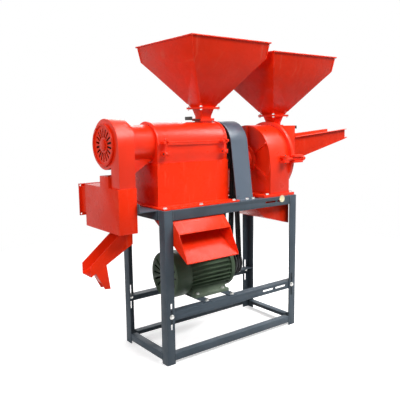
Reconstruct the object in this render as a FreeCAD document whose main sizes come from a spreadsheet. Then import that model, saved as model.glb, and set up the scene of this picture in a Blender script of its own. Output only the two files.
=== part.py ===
import FreeCAD, Part
import os
import Sketcher

# Combined rice huller and claw crusher on an angle-steel stand, with one motor below.
# X runs along the machine: fan and rice outlet at -X, crusher and feed tray at +X.
# The front is -Y and +Z is up. Every shape is drawn from the floor centre of the stand;
# origin_x and origin_y then move it to the bottom centre of the whole machine's box.

SIZES = {
    "origin_x": 135.5, "origin_y": -14,
    # stand of rolled angle
    "stand_length": 744, "stand_width": 333, "stand_height": 634,
    "leg_width": 40, "leg_wall": 4, "low_rail_width": 30, "low_rail_wall": 3, "low_rail_lift": 15,
    "motor_rail_width": 36, "motor_rail_wall": 4, "motor_rail_top": 220, "motor_rail_half": 366,
    "leg_slot_inset": 25, "leg_slot_z": 203, "leg_slot_length": 110, "leg_slot_width": 9,
    "rail_slot_first": 196, "rail_slot_second": 277, "rail_slot_length": 68, "rail_slot_width": 9,
    "short_slot_x": 257, "short_slot_length": 22, "top_slot_x": 205, "top_slot_drop": 19,
    "top_slot_length": 66, "big_washer_x": 276, "big_washer_drop": 10,
    "bar_width": 40, "bar_wall": 4, "bar_half": 158, "bar_bolt_half": 145,
    # shafts and fits
    "axis_y": 10, "mill_rise": 258, "crusher_rise": 170, "run_gap": 0.05, "face_gap": 0.3,
    "mill_shaft_r": 15, "crusher_shaft_r": 16, "motor_shaft_r": 14, "hole_gap": 0.25,
    # mill casing
    "mill_left": -339, "mill_length": 362, "mill_r": 86, "cast_wall": 5, "end_wall": 8,
    "seam_rise": 180, "skirt_wall": 3, "skirt_proud": 3, "rim_out": 5, "rim_height": 7,
    "foot_wall": 6, "foot_left": -364, "foot_right": 28, "foot_half": 154, "foot_bolt_half": 143,
    "foot_bolt_left": -352, "foot_bolt_middle": -174, "foot_bolt_right": 5,
    "bran_hole_gap": 4, "bran_hole_front": -72, "bran_hole_back": 56,
    "hinge_out": 16, "hinge_pin_r": 5, "knuckle_r": 9, "knuckle_width": 14, "hinge_inset": 44,
    "latch_inset": 29, "latch_out": 20, "latch_drop": 40, "ear_half": 17, "ear_front": 30,
    "ear_height": 10, "ear_slot": 12, "latch_bolt_r": 5, "latch_eye_r": 9, "latch_eye_width": 11,
    "latch_pin_r": 4, "cheek_wall": 6, "nut_run_back": 2, "nut_height": 8, "nut_flats": 17,
    "thread_end": 10,
    # milling parts
    "barrel_overlap": 4, "barrel_bore": 39, "barrel_wall": 6, "barrel_flange_r": 57,
    "barrel_flange_wall": 5, "screw_hub_r": 21, "screw_r": 37, "screw_gap": 1,
    "screw_end_gap": 11, "screw_pitch": 47, "flight_wall": 6, "roller_r": 32, "roller_gap": 4,
    "roller_length": 236, "rib_height": 6, "rib_width": 9, "roller_ribs": 4,
    "screen_r": 45, "screen_wall": 2.5, "screen_flange": 13, "screen_flange_wall": 3,
    "screen_slot_length": 26, "screen_slot_width": 4, "screen_slot_pitch": 42, "screen_columns": 5,
    "screen_rows": 14, "bearing_nose_r": 37, "bearing_flange_r": 50, "bearing_flange_wall": 9,
    # rice discharge, fan and separator
    "sheet": 3, "drum_r": 77, "drum_half": 50, "drum_left": -457, "spout_half": 32,
    "ring_r": 90, "ring_left": -446, "ring_wall": 8, "casing_shoulder": 62, "casing_run": 67,
    "casing_knee": 103, "casing_toe": 136, "spout_height": 37, "spout_fall": 13.4,
    "fan_left": -527, "fan_width": 70, "scroll_r": 97, "scroll_step": 5, "duct_depth": 65,
    "grille_r": 84, "eye_r": 66, "grille_hub_r": 22, "grille_slots": 18, "grille_slot_width": 8,
    "grille_wall": 4, "grille_ring": 9, "grille_ring_height": 10, "impeller_r": 84, "impeller_left": -512,
    "impeller_width": 42, "impeller_hub_r": 28, "impeller_blades": 6, "blade_wall": 4,
    "box_left": -535, "box_right": -455, "box_front": -104, "box_back": 185, "box_drop": 83,
    "box_rise": 93, "collar_right": -470, "collar_front": -25, "collar_back": 45,
    "collar_rise": 137, "collar_notch": 27, "outlet_inset": 4, "outlet_drop": 30,
    "outlet_rise": 78, "outlet_wall": 2, "outlet_end": 222, "outlet_flange": 14, "outlet_flange_wall": 6,
    "outlet_bolt_x": 43, "outlet_bolt_z": 61, "rice_way_inset": 11,
    "chute_front": -37, "chute_back": 41, "chute_reach": 93, "chute_drop": 161, "chute_heel": 56,
    "chute_heel_out": 14, "chute_lip": 44, "chute_shoulder": 22, "chute_shoulder_drop": 23,
    "chute_top": 50, "chute_wall": 2.5, "chute_slot_first": 24, "chute_slot_pitch": 11,
    "chute_slot_width": 6, "broken_front": -36, "broken_back": 2, "broken_inset": 21,
    "broken_mouth": 47, "broken_lean": 36, "broken_throat": 25, "broken_length": 70, "broken_wall": 2,
    "bracket_front": -118, "bracket_back": 122, "bracket_wall": 4, "bracket_drop": 36,
    # bran chute
    "bran_left": -331, "bran_right": -69, "bran_back_y": 61, "bran_lip_y": -256, "bran_lip_drop": 200,
    "bran_cheek": 8, "bran_hood_y": -124, "bran_hood_drop": 6, "bran_fold_y": -163,
    "bran_fold_drop": 45, "bran_mouth_y": -203, "bran_mouth_drop": 87, "bran_sheet": 2.5,
    # belt drive and guard
    "guard_left": 34, "guard_right": 130, "guard_y": 16, "guard_rise": 238, "guard_r": 109,
    "guard_tangent_y": 107.8, "guard_tangent_z": 16, "guard_foot_half": 145, "guard_wall": 2.5,
    "guard_foot": 27, "guard_foot_wall": 3, "guard_bolt_inset": 12,
    "guard_bolt_pitch": 36, "guard_bolt_out": 14, "guard_bolt_in": 14,
    "mill_pulley_r": 75, "crusher_pulley_r": 42, "motor_mill_r": 37.5, "motor_crusher_r": 62,
    "pulley_width": 35, "pulley_gap": 2, "mill_pulley_x": 55, "groove_inset": 10, "groove_pitch": 15,
    "groove_half": 6.6, "groove_floor_half": 4.4, "groove_depth": 11, "belt_half": 4.6,
    "belt_height": 8, "belt_out": 1,
    # crusher
    "crusher_left": 223, "crusher_right": 343, "crusher_r": 157, "crusher_wall": 8, "back_wall": 10,
    "base_wall": 12, "base_left": 178, "base_right": 372, "base_front": -154, "base_back": 174,
    "base_bolt_left": 205, "base_bolt_right": 357, "base_bolt_front": -143, "base_bolt_back": 146,
    "crusher_rib": 10, "crusher_rib_width": 9, "crusher_ribs": 6, "bead_r": 148, "bead_width": 9,
    "crusher_bearing_r": 43, "crusher_bearing_left": 137, "crusher_bearing_flange_r": 60,
    "rotor_left": 262, "rotor_r": 118, "rotor_wall": 14, "claw_in": 95, "claw_out": 115,
    "claw_half": 9, "claw_length": 46, "claws": 6, "inner_claw_in": 50, "inner_claw_out": 68,
    "inner_claws": 3, "ring_screen_r": 128, "ring_screen_wall": 3, "ring_screen_end": 338,
    "ring_slot_half": 6, "ring_slots": 16,
    "door_flat_gap": 3, "door_r": 173, "door_wall": 12, "tooth_in": 79, "tooth_out": 92, "tooth_half": 8,
    "tooth_length": 34, "teeth": 8, "inlet_r": 46, "door_hinge_y": 194, "door_hinge_x": 349,
    "door_pin_r": 7, "door_knuckle_r": 13, "door_knuckle_height": 24, "door_hinge_lift": 60,
    "hinge_block_root": 24,
    "clamp_x": 297, "clamp_out": 20, "clamp_bolt_r": 7, "clamp_eye_r": 12, "clamp_eye_height": 14,
    "clamp_cheek": 9, "clamp_seat_x": 401, "clamp_fork_front": 180, "clamp_fork_back": 152,
    "clamp_fork_gap": 8, "clamp_fork_wall": 10, "clamp_nut_flats": 24, "clamp_nut": 13,
    "throat_half": 75, "throat_right": 470, "throat_rise": 153, "throat_drop": 40,
    "tray_drop": 14, "tray_right": 877, "tray_tip_rise": 77, "tray_wall_rise": 98,
    "tray_tip_wall_rise": 131, "tray_wall": 3,
    "tray_tip_half": 60, "tray_lip": 12, "tray_end_lip": 22,
    "flour_left": 138, "flour_right": 354, "flour_front": -136, "flour_back": 140, "flour_wall": 2.5,
    "flour_drop": 136, "flour_lip_x": 324, "flour_lip_drop": 129, "flour_knee_x": 201,
    "flour_knee_drop": 94, "flour_heel_x": 163, "flour_heel_drop": 65, "flour_back_drop": 44,
    "flour_neck_right": 330, "flour_neck_front": -112, "flour_neck_back": 120,
    # hoppers with their slide gates
    "mill_hopper_x": -40, "crusher_hopper_x": 395, "stub_rise": 94, "neck": 46, "gate_wall": 3,
    "gate_side": 3, "gate_end": -118, "gate_handle": 12, "crusher_gate_drop": 16,
    "crusher_gate_end": 533,
    "funnel_height": 48, "funnel_wall": 2, "hopper_foot": 66, "hopper_flange": 104,
    "flange_plate": 4, "hopper_bolt": 47, "hopper_band": 384, "hopper_mouth": 404,
    "hopper_height": 272, "band_height": 68, "rim_lip": 6, "rim_lip_height": 5, "hopper_sheet": 2,
    # motor
    "shaft_height": 100, "stator_left": -190, "stator_right": 30, "stator_r": 86, "stator_bore": 62,
    "rotor_gap": 0.6, "fin_r": 100, "fins": 32, "fin_half": 1.4, "bell_r": 99, "bell_right": 50,
    "bell_left": -200, "boss_r": 40, "boss_wall": 2, "cowl_left": -268, "cowl_r": 101,
    "cowl_wall": 2, "cowl_slots": 16, "cowl_slot_half": 4, "motor_fan_r": 88, "motor_fan_left": -246,
    "motor_fan_width": 30, "motor_fan_blades": 8, "motor_shaft_end": 127, "motor_shaft_left": -250,
    "foot_y": 80, "foot_left_x": -151, "foot_right_x": -11, "foot_reach": 98, "foot_inner": 58,
    "pad_left": -174, "pad_right": 12, "pad_height": 12, "pedestal_height": 38, "terminal_left": -104,
    "terminal_right": 4, "terminal_half": 46, "terminal_lift": 88, "terminal_height": 58,
    # fasteners
    "bolt_r": 4, "bolt_flats": 13, "bolt_head": 5.5, "small_r": 3, "small_flats": 10, "small_head": 4,
    "pin_head_r": 8, "pin_head": 3, "big_washer_r": 17, "big_washer_wall": 3,
}

doc = FreeCAD.newDocument("rice_huller")
table = doc.addObject("Spreadsheet::Sheet", "sizes")
for row, (alias, value) in enumerate(SIZES.items(), start=1):
    table.set(f"A{row}", alias.replace("_", " "))
    table.set(f"B{row}", str(value))
    table.setAlias(f"B{row}", alias)
doc.recompute()

nodes = []


class Term:
    """A size written as an expression on the sheet; sums of terms stay bound to it."""

    def __init__(self, text):
        self.text = str(text)

    def __str__(self):
        return self.text

    def __neg__(self):
        return Term(f"(0 - {self})")

    def __add__(self, other):
        return Term(f"({self} + {other})")

    def __radd__(self, other):
        return Term(f"({other} + {self})")

    def __sub__(self, other):
        return Term(f"({self} - ({other}))")

    def __rsub__(self, other):
        return Term(f"({other} - ({self}))")

    def __mul__(self, other):
        return Term(f"({self} * ({other}))")

    __rmul__ = __mul__

    def __truediv__(self, other):
        return Term(f"({self} / ({other}))")


class Names:
    """s.leg_width is the term for that cell of the sheet."""

    def __getattr__(self, alias):
        if alias not in SIZES:
            raise AttributeError(alias)
        return Term(f"sizes.{alias}")


s = Names()

# ---- heights and places that follow from the sizes ----

deck = s.stand_height
top_slot_z = deck - s.top_slot_drop
big_washer_z = deck - s.big_washer_drop
mill_z = deck + s.mill_rise
seam_z = deck + s.seam_rise
stub_top = mill_z + s.stub_rise
guard_z = deck + s.guard_rise
crusher_z = deck + s.crusher_rise
crusher_floor = deck + s.base_wall
throat_top = crusher_z + s.throat_rise
throat_floor = crusher_z - s.throat_drop
tray_floor = crusher_z - s.tray_drop
tray_tip_floor = crusher_z + s.tray_tip_rise
tray_near = crusher_z + s.tray_wall_rise
tray_tip = crusher_z + s.tray_tip_wall_rise
crusher_gate_z = throat_top - s.crusher_gate_drop
box_floor = deck - s.box_drop
box_top = deck + s.box_rise
collar_top = deck + s.collar_rise
collar_cut = collar_top - s.collar_notch
outlet_left = s.box_left + s.outlet_inset
outlet_right = s.box_right - s.outlet_inset
outlet_floor = deck - s.outlet_drop
outlet_top = deck + s.outlet_rise
bran_lip_z = deck - s.bran_lip_drop
bar_top = s.motor_rail_top + s.bar_wall
motor_z = bar_top + s.shaft_height
pad_top = bar_top + s.pad_height
pedestal_top = bar_top + s.pedestal_height
terminal_base = motor_z + s.terminal_lift
terminal_top = terminal_base + s.terminal_height
mill_right = s.mill_left + s.mill_length
mill_inside = (s.mill_left + s.end_wall, mill_right - s.end_wall)
roller_x = (mill_inside[0] + s.roller_gap, mill_inside[0] + s.roller_gap + s.roller_length)
barrel_left = roller_x[1] - s.barrel_overlap


# ---- helpers ----

def bind(thing, prop, term):
    thing.setExpression(prop, str(term))


def move(thing, x, y, z):
    bind(thing, "Placement.Base.x", Term(x) - s.origin_x)
    bind(thing, "Placement.Base.y", Term(y) - s.origin_y)
    bind(thing, "Placement.Base.z", z)
    return thing


def box(x, y, z):
    """A block; x, y and z are (low, high) pairs."""
    part = doc.addObject("Part::Box", "block")
    for prop, (low, high) in zip(("Length", "Width", "Height"), (x, y, z)):
        bind(part, prop, Term(high) - low)
    return move(part, x[0], y[0], z[0])


TURN = {
    "x": FreeCAD.Rotation(FreeCAD.Vector(0, 1, 0), 90),
    "y": FreeCAD.Rotation(FreeCAD.Vector(1, 0, 0), -90),
    "z": FreeCAD.Rotation(),
}


def lay(part, axis, span, across):
    """Lays a round part along axis from span's low end; across is its centre in the other two axes."""
    part.Placement.Rotation = TURN[axis]
    bind(part, "Height", Term(span[1]) - span[0])
    start = list(across)
    start.insert("xyz".index(axis), span[0])
    return move(part, *start)


def rod(axis, span, across, radius):
    part = doc.addObject("Part::Cylinder", "rod")
    bind(part, "Radius", radius)
    return lay(part, axis, span, across)


def polygon(axis, span, across, count, radius):
    part = doc.addObject("Part::Prism", "polygon")
    part.Polygon = count
    bind(part, "Circumradius", radius)
    return lay(part, axis, span, across)


def hexagon(axis, span, across, flats):
    return polygon(axis, span, across, 6, Term(flats) * 0.57735)


def fuse(*parts):
    joined = doc.addObject("Part::MultiFuse", "fuse")
    joined.Shapes = list(parts)
    joined.Refine = True
    return joined


def cut(base, *tools):
    result = doc.addObject("Part::Cut", "cut")
    result.Base = base
    result.Tool = tools[0] if len(tools) == 1 else fuse(*tools)
    result.Refine = True
    return result


def common(*parts):
    result = doc.addObject("Part::MultiCommon", "common")
    result.Shapes = list(parts)
    return result


def group(*parts):
    """Like pieces in one node, each still its own solid."""
    result = doc.addObject("Part::Compound", "group")
    result.Links = list(parts)
    return result


def tube(span, across, radius, bore):
    inside = (Term(span[0]) - 1, Term(span[1]) + 1)
    return cut(rod("x", span, across, radius), rod("x", inside, across, bore))


ROLES = {"x": "YZ_Plane", "y": "XZ_Plane", "z": "XY_Plane"}


def plane(body, role):
    return next(item for item in body.Origin.OriginFeatures if item.Role == role)


def sketch(body, axis, points, lift=0):
    """A closed outline square to axis; each corner is held to the origin by signed distances."""
    drawn = body.newObject("Sketcher::SketchObject", "outline")
    drawn.AttachmentSupport = [(plane(body, ROLES[axis]), "")]
    drawn.MapMode = "FlatFace"
    bind(drawn, "AttachmentOffset.Base.z", lift)
    count = len(points)
    turn = FreeCAD.Rotation(FreeCAD.Vector(0, 0, 1), 360 / count)
    ring = [FreeCAD.Vector(50, 20, 0)]
    while len(ring) < count:
        ring.append(turn.multVec(ring[-1]))
    for i in range(count):
        drawn.addGeometry(Part.LineSegment(ring[i], ring[(i + 1) % count]))
    for i in range(count):
        drawn.addConstraint(Sketcher.Constraint("Coincident", i, 2, (i + 1) % count, 1))
    for i, (across, up) in enumerate(points):
        for kind, term, start in (("DistanceX", across, ring[i].x), ("DistanceY", up, ring[i].y)):
            index = drawn.addConstraint(Sketcher.Constraint(kind, -1, 1, i, 1, start))
            bind(drawn, f"Constraints[{index}]", term)
    drawn.Visibility = False
    return drawn


def prism(axis, span, points, at=(0, 0)):
    """An outline padded along axis; points and at are in the other two axes, in X Y Z order."""
    body = doc.addObject("PartDesign::Body", "prism")
    pad = body.newObject("PartDesign::Pad", "pad")
    pad.Profile = sketch(body, axis, points)
    pad.Reversed = axis == "y"
    bind(pad, "Length", Term(span[1]) - span[0])
    start = list(at)
    start.insert("xyz".index(axis), span[0])
    return move(body, *start)


def ringed(span, points, count, across):
    """An outline in the YZ plane padded along X and repeated round the axis at across."""
    body = doc.addObject("PartDesign::Body", "ringed")
    pad = body.newObject("PartDesign::Pad", "pad")
    pad.Profile = sketch(body, "x", points)
    bind(pad, "Length", Term(span[1]) - span[0])
    pattern = body.newObject("PartDesign::PolarPattern", "pattern")
    pattern.Originals = [pad]
    pattern.Axis = (plane(body, "X_Axis"), [""])
    pattern.Angle = 360
    bind(pattern, "Occurrences", count)
    body.Tip = pattern
    return move(body, span[0], *across)


def block_points(low, high, half):
    """Corners of a radial block that stands between two radii above the axis."""
    return [(-half, low), (half, low), (half, high), (-half, high)]


def turned(points, across):
    """A profile of (x, radius) turned round the X axis at across."""
    body = doc.addObject("PartDesign::Body", "turned")
    spin = body.newObject("PartDesign::Revolution", "revolution")
    drawn = sketch(body, "y", points)
    spin.Profile = drawn
    spin.ReferenceAxis = (drawn, ["H_Axis"])
    spin.Angle = 360
    return move(body, 0, *across)


def frustum(x, y, z, low, high):
    """A square block that widens upward; low and high are (height, side)."""
    part = doc.addObject("Part::Wedge", "frustum")
    part.Placement.Rotation = FreeCAD.Rotation(FreeCAD.Vector(1, 0, 0), 90)
    bind(part, "Ymin", low[0])
    bind(part, "Ymax", high[0])
    for end, length in (("", low[1]), ("2", high[1])):
        for letter in "XZ":
            low_name = f"{letter}2min" if end else f"{letter}min"
            high_name = f"{letter}2max" if end else f"{letter}max"
            bind(part, low_name, -(Term(length) / 2))
            bind(part, high_name, Term(length) / 2)
    return move(part, x, y, z)


def pyramid(x, y, z, levels):
    """Square frustums stacked one on the other; levels are (height, side)."""
    stack = [frustum(x, y, z, low, high) for low, high in zip(levels, levels[1:])]
    return fuse(*stack) if len(stack) > 1 else stack[0]


def side(sign, reach, depth):
    """The (low, high) pair that runs inward by depth from plus or minus reach."""
    return (Term(reach) - depth, reach) if sign > 0 else (-Term(reach), Term(depth) - reach)


def slot(y, x, z, length, width):
    """A round-ended cutter through Y, long in X."""
    half = Term(length) / 2 - Term(width) / 2
    middle = box((Term(x) - half, Term(x) + half), y, (Term(z) - Term(width) / 2, Term(z) + Term(width) / 2))
    ends = [rod("y", y, (Term(x) + end * half, z), Term(width) / 2) for end in (-1, 1)]
    return fuse(middle, *ends)


def bolt(axis, sign, place, grip, radius=s.bolt_r, flats=s.bolt_flats, head=s.bolt_head):
    """A hexagon bolt whose head sits on place and points along sign * axis."""
    index = "xyz".index(axis)
    across = [value for i, value in enumerate(place) if i != index]
    seat = Term(place[index])
    if sign > 0:
        crown, shank = (seat, seat + head), (seat - grip, seat + 1)
    else:
        crown, shank = (seat - head, seat), (seat - 1, seat + grip)
    return fuse(hexagon(axis, crown, across, flats), polygon(axis, shank, across, 8, radius))


def bolts(label, axis, sign, places, grip, **kind):
    return node(group(*[bolt(axis, sign, place, grip, **kind) for place in places]), label)


def holes(axis, span, acrosses, radius=s.bolt_r):
    return [rod(axis, span, across, Term(radius) + s.hole_gap) for across in acrosses]


def node(part, label):
    part.Label = label
    nodes.append(part)
    return part


# ---- stand ----

leg_x = s.stand_length / 2
leg_y = s.stand_width / 2
leg_top = deck - s.leg_wall
rail_x = leg_x - s.leg_width
rail_y = leg_y - s.leg_width
rail_bolt_x = leg_x - s.leg_slot_inset
corners = [(sx, sy) for sx in (-1, 1) for sy in (-1, 1)]

legs = []
for sx, sy in corners:
    web = box(side(sx, leg_x, s.leg_width), side(sy, leg_y, s.leg_wall), (0, leg_top))
    flank = box(side(sx, leg_x, s.leg_wall), side(sy, leg_y, s.leg_width), (0, leg_top))
    half = s.leg_slot_width / 2
    centre = sx * rail_bolt_x
    rise = (s.leg_slot_z - s.leg_slot_length / 2, s.leg_slot_z + s.leg_slot_length / 2)
    window = box((centre - half, centre + half), side(sy, leg_y + 1, s.leg_wall + 2), rise)
    legs.append(cut(fuse(web, flank), window))
node(group(*legs), "stand_legs")

rails = []
for sy in (-1, 1):
    flange = box((-leg_x, leg_x), side(sy, leg_y, s.leg_width), (leg_top, deck))
    web = box((-rail_x, rail_x), side(sy, leg_y, s.leg_wall), (deck - s.leg_width, leg_top))
    rails.append([flange, web])
for sx in (-1, 1):
    flange = box(side(sx, leg_x, s.leg_width), (-rail_y, rail_y), (leg_top, deck))
    web = box(side(sx, leg_x, s.leg_wall), (-rail_y, rail_y), (deck - s.leg_width, leg_top))
    rails.append([flange, web])

frame_bolts = [(x, sign * s.foot_bolt_half)
               for x in (s.foot_bolt_left, s.foot_bolt_right) for sign in (-1, 1)]
frame_bolts.append((s.foot_bolt_middle, -s.foot_bolt_half))
base_bolts = [(x, y) for x in (s.base_bolt_left, s.base_bolt_right)
              for y in (s.base_bolt_front, s.base_bolt_back)]
guard_toe_y = (s.guard_y - s.guard_foot_half - s.guard_bolt_out, s.guard_y + s.guard_foot_half - s.guard_bolt_in)
guard_spots = [(s.guard_right - s.guard_bolt_inset - shift, y)
               for shift in (0, s.guard_bolt_pitch) for y in guard_toe_y]
top_holes = holes("z", (s.leg_wall, deck + 1), frame_bolts + base_bolts + guard_spots)
top_cutter = fuse(*top_holes)
front_slots = [slot((-leg_y - 1, -leg_y + s.leg_wall + 1), x, top_slot_z, length, s.rail_slot_width)
               for x, length in ((s.top_slot_x, s.top_slot_length), (s.short_slot_x, s.short_slot_length))]
washer_hole = holes("y", (-leg_y - 1, -leg_y + s.leg_wall + 1), [(s.big_washer_x, big_washer_z)])
frame = fuse(*[part for rail in rails for part in rail])
node(cut(frame, top_cutter, *front_slots, *washer_hole), "stand_top_frame")

lows = []
low_top = s.low_rail_lift + s.low_rail_width
low_z = (s.low_rail_lift, low_top)
low_cap = (low_top - s.low_rail_wall, low_top)
for sy in (-1, 1):
    web = box((-rail_x, rail_x), side(sy, leg_y, s.low_rail_wall), low_z)
    cap = box((-rail_x, rail_x), side(sy, leg_y, s.low_rail_width), low_cap)
    lows.append(fuse(web, cap))
for sx in (-1, 1):
    web = box(side(sx, leg_x, s.low_rail_wall), (-rail_y, rail_y), low_z)
    cap = box(side(sx, leg_x, s.low_rail_width), (-rail_y, rail_y), low_cap)
    lows.append(fuse(web, cap))
node(group(*lows), "stand_lower_rails")

# ---- motor rails and cross bars ----

rail_face = leg_y - s.leg_wall
motor_rails = []
for sy in (-1, 1):
    low = s.motor_rail_top - s.motor_rail_width
    span = (-s.motor_rail_half, s.motor_rail_half)
    web = box(span, side(sy, rail_face, s.motor_rail_wall), (low, s.motor_rail_top))
    cap = box(span, side(sy, rail_face, s.motor_rail_width),
              (s.motor_rail_top - s.motor_rail_wall, s.motor_rail_top))
    through = side(sy, rail_face + 1, s.motor_rail_wall + 2)
    windows = [slot(through, x, s.leg_slot_z, s.rail_slot_length, s.rail_slot_width)
               for x in (s.rail_slot_first, s.rail_slot_second)]
    screws = holes("y", through, [(-rail_bolt_x, s.leg_slot_z), (rail_bolt_x, s.leg_slot_z)])
    seats = holes("z", (low, s.motor_rail_top + 1),
                  [(x, sy * s.bar_bolt_half) for x in (s.foot_left_x, s.foot_right_x)])
    motor_rails.append(cut(fuse(web, cap), *windows, *screws, *seats))
node(group(*motor_rails), "motor_rails")

bars = []
for x in (s.foot_left_x, s.foot_right_x):
    bar = box((x - s.bar_width / 2, x + s.bar_width / 2), (-s.bar_half, s.bar_half),
              (s.motor_rail_top, bar_top))
    spots = [(x, sign * reach) for sign in (-1, 1) for reach in (s.bar_bolt_half, s.foot_y)]
    bars.append(cut(bar, *holes("z", (s.motor_rail_top - 1, bar_top + 1), spots)))
node(group(*bars), "motor_cross_bars")

outer = []
for sx, sy in corners:
    outer.append(bolt("y", sy, (sx * rail_bolt_x, sy * leg_y, s.leg_slot_z), s.leg_wall + 8))
for x in (s.foot_left_x, s.foot_right_x):
    for sy in (-1, 1):
        outer.append(bolt("z", 1, (x, sy * s.bar_bolt_half, bar_top), s.bar_wall + 10))
frame_set = outer

# ---- mill casing ----

mill_y = (s.axis_y - s.mill_r, s.axis_y + s.mill_r)
mill_axis = (s.axis_y, mill_z)
inner_y = (mill_y[0] + s.cast_wall, mill_y[1] - s.cast_wall)
rim_y = (mill_y[0] - s.rim_out, mill_y[1] + s.rim_out)
hinge_y = mill_y[1] + s.hinge_out
latch_y = mill_y[0] - s.latch_out
latch_z = mill_z - s.latch_drop
latch_xs = (s.mill_left + s.latch_inset, mill_right - s.latch_inset)
hinge_xs = (s.mill_left + s.hinge_inset, mill_right - s.hinge_inset - 2 * s.knuckle_width)

shell = box((s.mill_left, mill_right), mill_y, (seam_z, mill_z))
rim = box((s.mill_left, mill_right), rim_y, (mill_z - s.rim_height, mill_z))
hollow = box(mill_inside, inner_y, (seam_z - 1, mill_z + 1))
left_bore = rod("x", (s.mill_left - 1, mill_inside[0] + 1), mill_axis, s.screen_r)
right_bore = rod("x", (mill_inside[1] - 1, mill_right + 1), mill_axis, s.bearing_nose_r)
lugs = []
for x in latch_xs:
    for sign in (-1, 1):
        near = sign * (s.latch_eye_width / 2 + s.face_gap)
        far = sign * (s.latch_eye_width / 2 + s.face_gap + s.cheek_wall)
        span = (x + near, x + far) if sign > 0 else (x + far, x + near)
        lugs.append(box(span, (latch_y - s.latch_eye_r, mill_y[0] + 1),
                        (latch_z - s.latch_eye_r, latch_z + s.latch_eye_r)))
knuckles = []
for x in hinge_xs:
    span = (x, x + s.knuckle_width)
    knuckles.append(rod("x", span, (hinge_y, mill_z), s.knuckle_r))
    knuckles.append(prism("x", span, [
        (mill_y[1] - 1, mill_z - 40), (hinge_y + s.knuckle_r * 0.6, mill_z - s.knuckle_r * 0.8),
        (hinge_y - s.knuckle_r * 0.6, mill_z - 2), (mill_y[1] - 1, mill_z - 2)]))
pin_bores = [rod("x", (x - 1, x + s.knuckle_width + 1), (hinge_y, mill_z), s.hinge_pin_r)
             for x in hinge_xs]
latch_bores = [rod("x", (x - 20, x + 20), (latch_y, latch_z), s.latch_pin_r) for x in latch_xs]
body = cut(fuse(shell, rim, *lugs, *knuckles), hollow, left_bore, right_bore, *pin_bores, *latch_bores)
node(body, "mill_body")

skirt_x = (s.mill_left - s.skirt_proud, mill_right + s.skirt_proud)
skirt_y = (mill_y[0] - s.skirt_proud, mill_y[1] + s.skirt_proud)
skirt = box(skirt_x, skirt_y, (deck, seam_z))
foot = box((s.foot_left, s.foot_right), (-s.foot_half, s.foot_half),
           (deck, deck + s.foot_wall))
room = box((s.mill_left + s.skirt_wall, mill_right - s.skirt_wall),
           (mill_y[0] + s.skirt_wall, mill_y[1] - s.skirt_wall),
           (deck + s.foot_wall, seam_z + 1))
drop = box((s.bran_left + s.bran_hole_gap, s.bran_right - s.bran_hole_gap),
           (s.bran_hole_front, s.bran_hole_back),
           (deck - 1, deck + s.foot_wall + 1))
feet_holes = holes("z", (deck - 1, deck + s.foot_wall + 1), frame_bolts)
slope = prism("y", (mill_y[0], mill_y[1]), [
    (s.bran_right - s.bran_hole_gap, deck + 2), (mill_right - 1, deck + 2),
    (mill_right - 1, seam_z - 60)])
node(cut(fuse(cut(fuse(skirt, foot), room), slope), drop, *feet_holes), "bran_skirt")

cover_z = mill_z + s.face_gap
upper = box((s.mill_left - 1, mill_right + 1), (mill_y[0] - 60, mill_y[1] + 60), (cover_z, mill_z + 300))
arch = rod("x", (s.mill_left, mill_right), mill_axis, s.mill_r)
beads = [tube(span, mill_axis, s.mill_r + 4, s.mill_r - 1)
         for span in ((s.mill_left, s.mill_left + 9), (mill_right - 9, mill_right))]
cover_rim = box((s.mill_left, mill_right), rim_y, (cover_z, cover_z + s.rim_height))
arch_hollow = rod("x", mill_inside, mill_axis, s.mill_r - s.cast_wall)
left_window = rod("x", (s.mill_left - 1, mill_inside[0] + 1), mill_axis, s.screen_r + 4)
right_window = rod("x", (mill_inside[1] - 1, mill_right + 1), mill_axis, s.bearing_nose_r + 1)
stub_half = s.neck / 2 + 4
hopper_x = s.mill_hopper_x
stub = box((hopper_x - stub_half, hopper_x + stub_half),
           (s.axis_y - stub_half, s.axis_y + stub_half), (mill_z + 48, stub_top))
plate_half = s.neck / 2 + 12
stub_plate = box((hopper_x - plate_half, hopper_x + plate_half),
                 (s.axis_y - plate_half, s.axis_y + plate_half), (stub_top - 4, stub_top))
gate_half = s.neck / 2 + s.gate_side
guide_top = stub_top + s.gate_wall + 2 * s.face_gap
guides = []
for sign in (-1, 1):
    near = s.axis_y + sign * (gate_half + s.face_gap)
    far = s.axis_y + sign * plate_half
    guides.append(box((hopper_x - plate_half, hopper_x + plate_half),
                      (near, far) if sign > 0 else (far, near), (stub_top - 1, guide_top)))
throat_way = box((hopper_x - s.neck / 2, hopper_x + s.neck / 2),
                 (s.axis_y - s.neck / 2, s.axis_y + s.neck / 2), (mill_z + 40, stub_top + 1))
ears = []
ear_slots = []
for x in latch_xs:
    ears.append(box((x - s.ear_half, x + s.ear_half), (mill_y[0] - s.ear_front, mill_y[0] + 6),
                    (cover_z, cover_z + s.ear_height)))
    ear_slots.append(box((x - s.ear_slot / 2, x + s.ear_slot / 2),
                         (mill_y[0] - s.ear_front - 1, latch_y + s.ear_slot / 2),
                         (cover_z - 1, cover_z + s.ear_height + 1)))
cover_knuckles = []
cover_bores = []
for x in hinge_xs:
    span = (x + s.knuckle_width + s.face_gap, x + 2 * s.knuckle_width)
    cover_knuckles.append(rod("x", span, (hinge_y, mill_z), s.knuckle_r))
    cover_knuckles.append(prism("x", span, [
        (hinge_y - s.knuckle_r * 0.8, mill_z + 1), (hinge_y + s.knuckle_r * 0.5, mill_z + 7),
        (mill_y[1] - 14, mill_z + 48), (mill_y[1] - 4, mill_z + 1)]))
    cover_bores.append(rod("x", (x + s.knuckle_width, x + 2 * s.knuckle_width + 1),
                           (hinge_y, mill_z), s.hinge_pin_r + s.run_gap))
over = common(fuse(arch, *beads, cover_rim), upper)
node(cut(fuse(cut(over, arch_hollow), stub, stub_plate, *guides, *ears, *cover_knuckles),
         left_window, right_window, throat_way, *ear_slots, *cover_bores), "mill_cover")

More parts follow.
